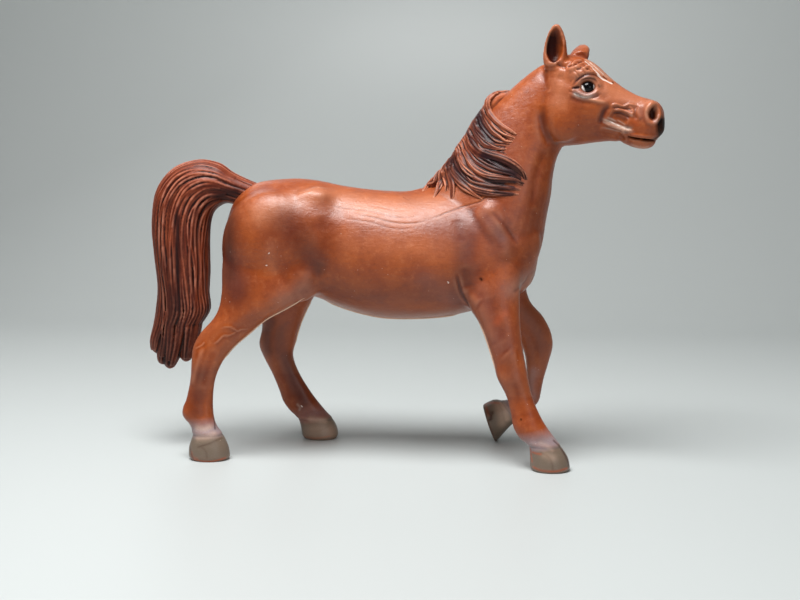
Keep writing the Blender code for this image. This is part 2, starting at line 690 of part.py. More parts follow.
def mane_form():
    """Locks of hair laid on the skin of the neck."""

    def lay(path, width_shares, half_width, flatness_share, lift_shares, spread_shares, beside):
        """A strand on the skin, shifted sideways and lifted off the skin as it runs."""
        rows = smooth_rows([
            (*point, *shares)
            for point, *shares in zip(path, width_shares, lift_shares, spread_shares)])
        found = [crest.find_nearest(withers + Vector(row[:3]) * NECK_LENGTH) for row in rows]
        points = []
        faces_out = []
        for i, (spot, out, _, _) in enumerate(found):
            ahead = found[min(i + 1, len(rows) - 1)][0] - found[max(i - 1, 0)][0]
            side = ahead.cross(out).normalized()
            spot, out, _, _ = crest.find_nearest(spot + side * beside * rows[i][5])
            points.append(spot + out * MANE_THICKNESS * rows[i][4])
            faces_out.append(out)
        widths = [row[3] * half_width for row in rows]
        return strand(points, widths, flatness_share, faces_out)

    level = [0] * len(crest_roll_shares)
    pieces = [lay(
        crest_roll_shares, crest_width_shares, MANE_THICKNESS, crest_flatness_share,
        level, level, 0)]
    for path, count in mane_lock_shares:
        pieces.append(lay(
            path, bed_width_shares, count * STRAND_WIDTH, bed_flatness_share,
            bed_lift_shares, strand_spread_shares, 0))
        for k in range(count):
            beside = (k - (count - 1) / 2) * STRAND_WIDTH
            lifts = [share + second_lift_share * (k % 2) for share in strand_lift_shares]
            pieces.append(lay(
                path, strand_width_shares, STRAND_WIDTH, 1.0, lifts, strand_spread_shares, beside))
    return fuse("mane", pieces, HAIR_GRAIN, 1, MANE_TRIANGLES)


# Where the pieces part: for each leg, the x of the seam's front and back in shares of the
# belly height from the leg's place, and the y of its inner edge in shares of the stance and
# its height over the belly in shares of the barrel depth, then the same for its outer edge
leg_seam_shares = {
    "right_foreleg": (0.29, -0.235, 0.20, -0.020, 1.25, 0.170),
    "left_foreleg": (0.46, -0.235, 0.20, -0.020, 1.25, 0.170),
    "right_hind_leg": (0.31, -0.50, 0.20, 0.120, 1.25, 0.208),
    "left_hind_leg": (0.22, -0.46, 0.20, 0.120, 1.25, 0.208)}


def leg_region(name, growth=0):
    """The block of space that a leg is cut from."""
    side, place_share, _ = leg_shares[name]
    front, back, inner, inner_height, outer, outer_height = leg_seam_shares[name]
    place = place_share * BODY_LENGTH
    corners = []
    for x_share in (front, back):
        x = place + x_share * BELLY_HEIGHT
        inner_z = BELLY_HEIGHT + inner_height * BARREL_DEPTH
        outer_z = BELLY_HEIGHT + outer_height * BARREL_DEPTH
        corners.append((x, side * inner * STANCE_HALF_WIDTH, inner_z))
        corners.append((x, side * outer * STANCE_HALF_WIDTH, outer_z))
        reach = x + copysign(OVERRUN, x_share)
        corners.append((reach, side * 0.08 * STANCE_HALF_WIDTH, -OVERRUN))
        corners.append((reach, side * 2 * STANCE_HALF_WIDTH, -OVERRUN))
    return hull(corners, growth)


# Place of a leg's pin between the inner and outer edge of its seam, how far in it stands
# from the leg's middle, and the way that it leans
pin_between_share = 0.4
pin_inward_share = 0.96
pin_lean_share = 0.3


def leg_pin(name, growth=0):
    """The pin at the middle of the leg, where the leg crosses its seam."""
    side, place_share, rows = leg_shares[name]
    _, _, _, inner_height, _, outer_height = leg_seam_shares[name]
    height_share = inner_height + (outer_height - inner_height) * pin_between_share
    seam_height = BELLY_HEIGHT + height_share * BARREL_DEPTH
    section = min(rows, key=lambda row: abs((row[1] + row[3]) / 2 * BELLY_HEIGHT - seam_height))
    base = Vector((
        place_share * BODY_LENGTH + (section[0] + section[2]) / 2 * BELLY_HEIGHT,
        side * section[4] * pin_inward_share * STANCE_HALF_WIDTH,
        seam_height))
    return pin(base, (0, -side * pin_lean_share, 1), PIN_RADIUS, PIN_LENGTH, growth)


# Neck: the x and z of the seam's rear and front, and where its pin starts, in shares of the
# neck length from the withers; its pin's girth and length beside a leg's; way of each pin
neck_seam_shares = ((-0.440, -0.004), (1.400, 0.155))
neck_pin_share = (0.07, 0.037)
neck_pin_size_shares = (1.8, 1.1)
neck_pin_way_share = (-0.2, 0, -1)
tail_pin_share = (-0.02, 0)
tail_pin_way_share = (1, 0, -0.25)
mane_pin_shares = [(-0.14, -0.03, 0.275), (0.0, -0.03, 0.485)]


def neck_region(growth=0):
    rear, front = (neck_point(*place) for place in neck_seam_shares)
    top = Vector((0, 0, NECK_LENGTH + HEAD_LENGTH))
    corners = [
        corner + Vector((0, side * 2 * BARREL_HALF_WIDTH, 0))
        for corner in (rear, front, rear + top, front + top) for side in (1, -1)]
    return hull(corners, growth)


def neck_pin(growth=0):
    girth_share, length_share = neck_pin_size_shares
    base = neck_point(*neck_pin_share)
    return pin(base, neck_pin_way_share, girth_share * PIN_RADIUS, length_share * PIN_LENGTH, growth)


def tail_pin(growth=0):
    return pin(tail_point(*tail_pin_share), tail_pin_way_share, PIN_RADIUS, PIN_LENGTH, growth)


def mane_pin(place, growth=0):
    """A pin from under the mane, square to the crest."""
    base, out, _, _ = crest.find_nearest(withers + Vector(place) * NECK_LENGTH)
    return pin(base, -out, MANE_PIN_RADIUS, MANE_PIN_LENGTH, growth)


skin, around_skin = body_skin()
crest = BVHTree.FromObject(skin, bpy.context.evaluated_depsgraph_get())

pieces = {}
for name in leg_shares:
    leg = copy_of(skin, name)
    combine(leg, leg_region(name), "INTERSECT")
    combine(leg, leg_pin(name), "UNION")
    pieces[name] = leg

head_and_neck = copy_of(skin, "head_and_neck")
combine(head_and_neck, neck_region(), "INTERSECT")
combine(head_and_neck, neck_pin(), "UNION")
for place in mane_pin_shares:
    combine(head_and_neck, mane_pin(place, SEAM_GAP), "DIFFERENCE")
pieces["head_and_neck"] = head_and_neck

tail = tail_form()
combine(tail, around_skin, "DIFFERENCE", keep_tool=True)
main_body(tail)
combine(tail, tail_pin(), "UNION")
pieces["tail"] = tail

mane = mane_form()
combine(mane, around_skin, "DIFFERENCE")
main_body(mane)
for place in mane_pin_shares:
    combine(mane, mane_pin(place), "UNION")
pieces["mane"] = mane

torso = skin
torso.name = "torso"
for name in leg_shares:
    combine(torso, leg_region(name, SEAM_GAP), "DIFFERENCE")
    combine(torso, leg_pin(name, SEAM_GAP), "DIFFERENCE")
combine(torso, neck_region(SEAM_GAP), "DIFFERENCE")
combine(torso, neck_pin(SEAM_GAP), "DIFFERENCE")
combine(torso, tail_pin(SEAM_GAP), "DIFFERENCE")
pieces["torso"] = torso

# Finish: name, base colour, roughness
finishes = {
    "torso": ((0.38, 0.12, 0.05, 1), 0.40),
    "head_and_neck": ((0.42, 0.14, 0.06, 1), 0.40),
    "mane": ((0.16, 0.05, 0.04, 1), 0.45),
    "tail": ((0.17, 0.05, 0.04, 1), 0.45),
    "right_foreleg": ((0.36, 0.12, 0.06, 1), 0.42),
    "left_foreleg": ((0.34, 0.11, 0.06, 1), 0.42),
    "right_hind_leg": ((0.36, 0.12, 0.06, 1), 0.42),
    "left_hind_leg": ((0.28, 0.09, 0.05, 1), 0.42)}


def paint(piece, colour, roughness):
    finish_of = bpy.data.materials.new("pvc_" + piece.name)
    finish_of.use_nodes = True
    shader = finish_of.node_tree.nodes["Principled BSDF"]
    shader.inputs["Base Color"].default_value = colour
    shader.inputs["Roughness"].default_value = roughness
    shader.inputs["Metallic"].default_value = 0
    piece.data.materials.clear()
    piece.data.materials.append(finish_of)


corners = [vert.co for piece in pieces.values() for vert in piece.data.vertices]
low = Vector([min(corner[i] for corner in corners) for i in range(3)])
high = Vector([max(corner[i] for corner in corners) for i in range(3)])
shift = -Vector(((low.x + high.x) / 2, (low.y + high.y) / 2, low.z))
horse = bpy.data.objects.new("horse", None)
scene.collection.objects.link(horse)
horse.location = shift
for name, piece in pieces.items():
    piece.data.shade_smooth()
    piece.data.set_sharp_from_angle(angle=radians(50))
    paint(piece, *finishes[name])
    piece.parent = horse
bpy.context.view_layer.update()
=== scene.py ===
"""A hand-painted toy horse of soft PVC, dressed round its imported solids.

The horse is sculpted once as a single skin, so that its muscles, creases and paint run on
across the glued seams, and is then parted into the moulded pieces.
"""

import random
from math import cos, copysign, pi, radians, sin

import bmesh
import bpy
import numpy as np
from mathutils import Matrix, Vector
from mathutils.bvhtree import BVHTree
from mathutils.kdtree import KDTree


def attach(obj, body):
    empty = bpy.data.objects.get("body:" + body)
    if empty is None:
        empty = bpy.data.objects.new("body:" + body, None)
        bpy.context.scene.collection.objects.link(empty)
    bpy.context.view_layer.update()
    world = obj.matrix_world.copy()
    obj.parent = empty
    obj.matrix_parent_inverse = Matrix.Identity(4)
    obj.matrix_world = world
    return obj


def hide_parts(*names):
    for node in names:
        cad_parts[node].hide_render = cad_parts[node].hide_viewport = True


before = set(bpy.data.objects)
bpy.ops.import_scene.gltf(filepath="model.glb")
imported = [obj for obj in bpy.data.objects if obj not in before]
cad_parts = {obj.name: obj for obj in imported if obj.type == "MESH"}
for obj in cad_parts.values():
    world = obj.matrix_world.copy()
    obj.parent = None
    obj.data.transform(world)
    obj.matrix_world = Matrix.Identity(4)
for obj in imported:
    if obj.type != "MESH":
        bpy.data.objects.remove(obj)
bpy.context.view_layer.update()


# Studio: a pale table top that turns up into a pale wall, lit by a broad soft lamp overhead
# and a weaker one beside the camera. The camera stands 290 mm away, turned 6 degrees towards
# the horse's nose, where the photograph was taken from.
MM = 0.001
scene = bpy.context.scene
scene.view_settings.view_transform = "Standard"
TABLE_COLOUR = "#BBC0BF"
WALL_DISTANCE = 420 * MM
TABLE_REACH = 900 * MM
LENS_DISTANCE = 290 * MM
LENS_HEIGHT = 70 * MM
LENS_TURN = radians(6)
LENS_PITCH = radians(6.1)
FOCAL_PIXELS = 1154
FRAME_WIDTH, FRAME_HEIGHT = 800, 600
FILM_WIDTH = 36
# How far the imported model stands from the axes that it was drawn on
RECENTRED = Vector((0.885, 0.022, 0)) * MM


def linear(code, alpha=1.0):
    """An sRGB hex colour as the linear values that a node takes."""
    shares = [int(code[i:i + 2], 16) / 255 for i in (1, 3, 5)]
    return (*[s / 12.92 if s <= 0.04045 else ((s + 0.055) / 1.055) ** 2.4 for s in shares], alpha)


def add_node(tree, kind, settings=None, **links):
    """A node with its settings, and its inputs set to a value or joined to a socket."""
    node = tree.nodes.new(kind)
    for name, value in (settings or {}).items():
        setattr(node, name, value)
    for name, value in links.items():
        key = int(name[1:]) if name[1:].isdigit() else name.replace("_", " ")
        socket = node.inputs[key]
        if isinstance(value, bpy.types.NodeSocket):
            tree.links.new(value, socket)
        else:
            socket.default_value = value
    return node


def new_material(name):
    """A material, its node tree and its Principled shader."""
    made = bpy.data.materials.new(name)
    made.use_nodes = True
    return made, made.node_tree, made.node_tree.nodes["Principled BSDF"]


table_mesh = bmesh.new()
sweep = [(-TABLE_REACH, 0.0)]
sweep += [
    (WALL_DISTANCE * (0.55 + 0.45 * sin(radians(angle))), WALL_DISTANCE * 0.45 * (1 - cos(radians(angle))))
    for angle in range(0, 91, 6)]
sweep.append((WALL_DISTANCE, TABLE_REACH))
rows = []
for side in (-TABLE_REACH, TABLE_REACH):
    rows.append([table_mesh.verts.new((side, y, z)) for y, z in sweep])
for i in range(len(sweep) - 1):
    table_mesh.faces.new((rows[0][i], rows[0][i + 1], rows[1][i + 1], rows[1][i]))
bmesh.ops.recalc_face_normals(table_mesh, faces=table_mesh.faces)
table_data = bpy.data.meshes.new("table_top")
table_mesh.to_mesh(table_data)
table_mesh.free()
table_data.shade_smooth()
table_top = bpy.data.objects.new("table_top", table_data)
scene.collection.objects.link(table_top)
painted_board, tree, shader = new_material("white_laminate")
shader.inputs["Base Color"].default_value = linear(TABLE_COLOUR)
shader.inputs["Roughness"].default_value = 0.45
table_data.materials.append(painted_board)

lens = bpy.data.cameras.new("lens")
lens.sensor_width = FILM_WIDTH
lens.lens = FOCAL_PIXELS / FRAME_WIDTH * FILM_WIDTH
lens.clip_start = 10 * MM
camera = bpy.data.objects.new("lens", lens)
camera.location = RECENTRED + Vector((
    LENS_DISTANCE * sin(LENS_TURN), -LENS_DISTANCE * cos(LENS_TURN), LENS_HEIGHT))
look = Vector((
    -sin(LENS_TURN) * cos(LENS_PITCH), cos(LENS_TURN) * cos(LENS_PITCH), -sin(LENS_PITCH)))
camera.rotation_euler = look.to_track_quat("-Z", "Y").to_euler()
scene.collection.objects.link(camera)
scene.camera = camera

LAMPS = [
    # name, place, what it points at, side length, watts
    ("overhead_softbox", (-60, -130, 420), (0, 0, 50), 250, 3.0),
    ("camera_softbox", (260, -420, 160), (0, 0, 50), 260, 0.30),
    ("back_softbox", (-200, 260, 260), (0, 0, 60), 200, 0.14)]
for name, place, target, side, watts in LAMPS:
    lamp_data = bpy.data.lights.new(name, "AREA")
    lamp_data.energy = watts
    lamp_data.shape = "DISK"
    lamp_data.size = side * MM
    lamp = bpy.data.objects.new(name, lamp_data)
    lamp.location = Vector(place) * MM
    aim = Vector(target) * MM - lamp.location
    lamp.rotation_euler = aim.to_track_quat("-Z", "Y").to_euler()
    scene.collection.objects.link(lamp)
sky = bpy.data.worlds.new("studio_air")
sky.use_nodes = True
sky.node_tree.nodes["Background"].inputs["Color"].default_value = linear("#ECEAE8")
sky.node_tree.nodes["Background"].inputs["Strength"].default_value = 0.18
scene.world = sky


# Sculpted skin, trunk: the solid body of the horse, moulded in soft PVC from a sculpture. Its
# cross-sections run from the rump to the chest, and its muscles are laid on as flat ovals.
BODY_LENGTH = 80 * MM
BELLY_HEIGHT = 35 * MM
BARREL_DEPTH = 32 * MM
BARREL_HALF_WIDTH = 14.8 * MM
AROUND = 40
BETWEEN = 5
# Distance between neighbouring points of the skin before it is sculpted
MUSCLE_GRAIN = 1.2 * MM
SKIN_GRAIN = 0.34 * MM


def add_object(name, mesh):
    """Link a new object that holds the bmesh and free the bmesh."""
    bmesh.ops.recalc_face_normals(mesh, faces=mesh.faces)
    data = bpy.data.meshes.new(name)
    mesh.to_mesh(data)
    mesh.free()
    made = bpy.data.objects.new(name, data)
    scene.collection.objects.link(made)
    return made


def smooth_rows(rows, steps=BETWEEN):
    """Catmull-Rom rows between the given rows."""
    last = len(rows) - 1
    fine = []
    for i in range(last):
        before, start, end, after = (rows[min(max(j, 0), last)] for j in range(i - 1, i + 3))
        for step in range(steps):
            t = step / steps
            fine.append([
                (2 * q + (r - p) * t + (2 * p - 5 * q + 4 * r - s) * t * t
                 + (3 * q - p - 3 * r + s) * t ** 3) / 2
                for p, q, r, s in zip(before, start, end, after)])
    fine.append(list(rows[-1]))
    return fine


def skin_rings(mesh, rings):
    """Faces between closed rings of points, with a cap on each end."""
    loops = [[mesh.verts.new(point) for point in ring] for ring in rings]
    count = len(loops[0])
    for lower, upper in zip(loops, loops[1:]):
        for i in range(count):
            j = (i + 1) % count
            mesh.faces.new((lower[i], lower[j], upper[j], upper[i]))
    mesh.faces.new(loops[0])
    mesh.faces.new(loops[-1][::-1])


def loft(rows, squareness=1.0):
    """Closed skin through cross-sections.

    A row is (x and z of the section's first edge, x and z of its other edge, y of its middle,
    half width, lean). Lean widens the section towards its first edge.
    """
    mesh = bmesh.new()
    rings = []
    for ax, az, bx, bz, y, half_width, lean in smooth_rows(rows):
        ring = []
        for i in range(AROUND):
            angle = 2 * pi * i / AROUND
            along = copysign(abs(cos(angle)) ** squareness, cos(angle))
            across = copysign(abs(sin(angle)) ** squareness, sin(angle))
            ring.append(Vector((
                (ax + bx) / 2 + (ax - bx) / 2 * along,
                y + half_width * across * (1 + lean * along),
                (az + bz) / 2 + (az - bz) / 2 * along)))
        rings.append(ring)
    skin_rings(mesh, rings)
    return add_object("loft", mesh)


def both_sides(centre, radii, tilt=0):
    """A pair of ovals, or one on the middle plane, tilted nose up by so many degrees."""
    made = []
    for side in ((1, -1) if centre[1] else (1,)):
        mesh = bmesh.new()
        bmesh.ops.create_uvsphere(mesh, u_segments=32, v_segments=16, radius=1)
        turn = Matrix.Rotation(-radians(tilt), 4, "Y")
        place = Vector((centre[0], centre[1] * side, centre[2]))
        mesh.transform(Matrix.Translation(place) @ turn @ Matrix.Diagonal((*radii, 1)))
        made.append(add_object("oval", mesh))
    return made


def finish(target):
    """Apply the object's modifiers to its mesh."""
    graph = bpy.context.evaluated_depsgraph_get()
    data = bpy.data.meshes.new_from_object(target.evaluated_get(graph))
    target.modifiers.clear()
    target.data = data


def settle(target, iterations):
    """Smooth a mesh a little, as soft PVC rounds every edge of its mould."""
    soften = target.modifiers.new("soften", "SMOOTH")
    soften.factor = 0.5
    soften.iterations = iterations
    finish(target)


def fuse(name, pieces, grain, smoothing):
    """One closed skin round overlapping pieces, with its junctions rounded."""
    mesh = bmesh.new()
    for piece in pieces:
        mesh.from_mesh(piece.data)
        bpy.data.objects.remove(piece)
    whole = add_object(name, mesh)
    remesh = whole.modifiers.new("skin", "REMESH")
    remesh.mode = "VOXEL"
    remesh.voxel_size = grain
    settle(whole, smoothing)
    return whole


def trunk_point(x, y, z):
    return Vector((x * BODY_LENGTH, y * BARREL_HALF_WIDTH, BELLY_HEIGHT + z * BARREL_DEPTH))


# x and z of the back, x and z of the belly, half width and lean, as shares of the sizes above
TRUNK_SECTIONS = [
    (-0.548, 0.734, -0.555, 0.469, 0.24, 0.0),
    (-0.530, 0.890, -0.543, 0.330, 0.45, 0.0),
    (-0.492, 1.000, -0.512, 0.220, 0.64, 0.0),
    (-0.440, 1.060, -0.450, 0.170, 0.78, 0.0),
    (-0.363, 1.080, -0.363, 0.155, 0.88, 0.0),
    (-0.275, 1.075, -0.275, 0.150, 0.90, 0.0),
    (-0.175, 1.025, -0.181, 0.060, 0.89, -0.05),
    (-0.063, 0.992, -0.063, -0.010, 0.97, -0.10),
    (0.050, 0.982, 0.063, -0.013, 1.00, -0.12),
    (0.144, 1.000, 0.175, 0.016, 0.95, -0.15),
    (0.225, 1.012, 0.275, 0.080, 0.87, -0.18),
    (0.312, 1.010, 0.363, 0.156, 0.75, -0.15),
    (0.388, 0.980, 0.416, 0.280, 0.56, 0.0),
    (0.430, 0.830, 0.434, 0.500, 0.30, 0.0)]
# Haunch, buttock, stifle, point of hip, thigh, shoulder, upper arm, breast and withers: centre
# as a trunk point, radii as shares of the barrel's depth, tilt in degrees
MUSCLES = [
    ((-0.388, 0.54, 0.594), (0.390, 0.197, 0.400), 0),
    ((-0.494, 0.40, 0.531), (0.150, 0.150, 0.281), 0),
    ((-0.298, 0.66, 0.312), (0.172, 0.119, 0.187), 0),
    ((-0.250, 0.45, 0.945), (0.150, 0.110, 0.062), 6),
    ((-0.440, 0.56, 0.230), (0.150, 0.140, 0.280), -30),
    ((0.270, 0.48, 0.640), (0.200, 0.160, 0.350), -20),
    ((0.222, 0.63, 0.281), (0.140, 0.100, 0.156), 0),
    ((0.394, 0.29, 0.594), (0.120, 0.131, 0.203), 0),
    ((0.112, 0.00, 0.965), (0.219, 0.080, 0.056), 0)]
sections = []
for row in TRUNK_SECTIONS:
    back, belly = trunk_point(row[0], 0, row[1]), trunk_point(row[2], 0, row[3])
    sections.append((back.x, back.z, belly.x, belly.z, 0, row[4] * BARREL_HALF_WIDTH, row[5]))
trunk = [loft(sections)]
for centre, radii, tilt in MUSCLES:
    trunk += both_sides(trunk_point(*centre), Vector(radii) * BARREL_DEPTH, tilt)
forms = []


# Sculpted skin, neck and head: one moulding with its ears. The head is turned a little towards
# the near side, its cheeks are round and flat, and each ear is a hollow leaf.
NECK_LENGTH = 36 * MM
NECK_HALF_WIDTH = 11 * MM
HEAD_LENGTH = 30.3 * MM
HEAD_HALF_WIDTH = 6.2 * MM
HEAD_TURN = radians(-15)
EAR_LENGTH = 9.8 * MM
HEAD_GRAIN = 0.7 * MM
withers = trunk_point(0.25, 0, 1)


def neck_point(x, z):
    return withers + Vector((x, 0, z)) * NECK_LENGTH


jaw_corner = neck_point(0.417, 0.278)
head_turning = (
    Matrix.Translation(jaw_corner) @ Matrix.Rotation(HEAD_TURN, 4, "Z")
    @ Matrix.Translation(-jaw_corner))


def head_point(x, y, z):
    return jaw_corner + Vector((x, y, z)) * HEAD_LENGTH


# x and z of the crest, x and z of the throat, half width and lean
NECK_SECTIONS = [
    (-0.472, -0.139, 0.347, -0.639, 0.90, -0.20),
    (-0.345, -0.020, 0.425, -0.403, 0.93, -0.25),
    (-0.240, 0.075, 0.456, -0.208, 0.88, -0.28),
    (-0.152, 0.220, 0.486, -0.042, 0.78, -0.30),
    (-0.066, 0.370, 0.497, 0.083, 0.69, -0.30),
    (0.025, 0.505, 0.522, 0.208, 0.62, -0.28),
    (0.140, 0.615, 0.569, 0.300, 0.57, -0.20),
    (0.268, 0.733, 0.639, 0.375, 0.54, -0.10),
    (0.417, 0.839, 0.722, 0.472, 0.52, 0.0),
    (0.514, 0.842, 0.764, 0.556, 0.36, 0.0)]
# x and z of the face line, x and z of the jaw line, half width and lean
HEAD_SECTIONS = [
    (0.027, 0.567, 0.010, 0.233, 0.49, 0.0),
    (0.067, 0.700, 0.053, 0.100, 0.83, 0.05),
    (0.167, 0.743, 0.150, 0.017, 0.95, 0.05),
    (0.300, 0.723, 0.300, 0.020, 1.02, 0.08),
    (0.427, 0.663, 0.443, 0.037, 0.97, 0.10),
    (0.550, 0.550, 0.567, 0.047, 0.82, 0.08),
    (0.667, 0.460, 0.667, 0.027, 0.70, 0.0),
    (0.787, 0.397, 0.760, -0.010, 0.66, 0.0),
    (0.887, 0.367, 0.867, 0.007, 0.67, 0.0),
    (0.947, 0.313, 0.940, 0.080, 0.56, 0.0),
    (0.980, 0.240, 0.977, 0.140, 0.28, 0.0)]
# Cheek, brow, lower lid, cheek ridge, nostril wing, chin and upper lip
FACE_FORMS = [
    ((0.193, 0.140, 0.260), (0.187, 0.077, 0.227), 0),
    ((0.345, 0.160, 0.575), (0.120, 0.052, 0.060), -12),
    ((0.350, 0.172, 0.440), (0.090, 0.045, 0.035), -10),
    ((0.510, 0.150, 0.330), (0.150, 0.030, 0.030), -14),
    ((0.880, 0.090, 0.280), (0.070, 0.057, 0.080), 0),
    ((0.820, 0.000, 0.040), (0.100, 0.097, 0.060), 0),
    ((0.907, 0.000, 0.140), (0.080, 0.107, 0.063), 0)]
# Root, tip and the way the open side faces; then height, half width and half thickness
EARS = {
    "right": ((0.130, -0.125, 0.664), (0.05, -0.08, 0.99), (0.25, -0.95, 0.1)),
    "left": ((0.266, 0.119, 0.722), (-0.14, 0.915, 0.37), (0.45, 0.25, -0.82))}
HOLLOW_OUT = 0.12
HOLLOW_ASIDE = 0.03
EAR_SECTIONS = [
    (-0.14, 0.270, 0.20),
    (0.05, 0.290, 0.19),
    (0.24, 0.300, 0.17),
    (0.475, 0.272, 0.15),
    (0.685, 0.215, 0.12),
    (0.855, 0.130, 0.09),
    (0.950, 0.040, 0.04)]
HOLLOW_SECTIONS = [
    (0.00, 0.04, 0.04),
    (0.08, 0.13, 0.10),
    (0.24, 0.205, 0.15),
    (0.475, 0.215, 0.15),
    (0.685, 0.165, 0.12),
    (0.835, 0.095, 0.08),
    (0.905, 0.030, 0.03)]


def combine(target, tool, operation):
    """Boolean of the target with the tool, which is used up."""
    cut = target.modifiers.new("cut", "BOOLEAN")
    cut.operation = operation
    cut.solver = "EXACT"
    cut.object = tool
    finish(target)
    bpy.data.objects.remove(tool)


def ear(root, way, face, sections, out=0.0, aside=0.0):
    """A leaf-shaped ear, or the smaller leaf that hollows it out."""
    up = Vector(way).normalized()
    open_way = Vector(face)
    open_way = (open_way - up * open_way.dot(up)).normalized()
    side = up.cross(open_way)
    foot = head_point(*root) + (open_way * out - side * aside) * EAR_LENGTH
    mesh = bmesh.new()
    rings = []
    for height, half_width, thickness in smooth_rows(sections):
        centre = foot + up * height * EAR_LENGTH
        rings.append([
            centre + side * half_width * EAR_LENGTH * cos(angle)
            + open_way * thickness * EAR_LENGTH * sin(angle)
            for angle in (2 * pi * i / 32 for i in range(32))])
    skin_rings(mesh, rings)
    return add_object("ear", mesh)


sections = []
for row in NECK_SECTIONS:
    crest, throat = neck_point(row[0], row[1]), neck_point(row[2], row[3])
    sections.append((crest.x, crest.z, throat.x, throat.z, 0, row[4] * NECK_HALF_WIDTH, row[5]))
forms.append(loft(sections))
sections = []
for row in HEAD_SECTIONS:
    face, jaw = head_point(row[0], 0, row[1]), head_point(row[2], 0, row[3])
    sections.append((face.x, face.z, jaw.x, jaw.z, 0, row[4] * HEAD_HALF_WIDTH, row[5]))
head = [loft(sections, 0.95)]
for centre, radii, tilt in FACE_FORMS:
    head += both_sides(head_point(*centre), Vector(radii) * HEAD_LENGTH, tilt)
head = [fuse("head", head, HEAD_GRAIN, 5)]
for root, way, face in EARS.values():
    leaf = ear(root, way, face, EAR_SECTIONS)
    combine(leaf, ear(root, way, face, HOLLOW_SECTIONS, HOLLOW_OUT, HOLLOW_ASIDE), "DIFFERENCE")
    head.append(leaf)
for form in head:
    form.data.transform(head_turning)
forms += head


# Sculpted skin, legs: three set down and the far foreleg lifted on its toe. Each is a row of
# cross-sections from inside the trunk to the hoof, with knee or hock, fetlock and pastern.
STANCE_HALF_WIDTH = 15 * MM
HOOF_HALF_WIDTH = 4.4 * MM
# The finer skin keeps more of a hoof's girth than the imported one, so it starts a little thinner
HOOF_FIT = 0.985
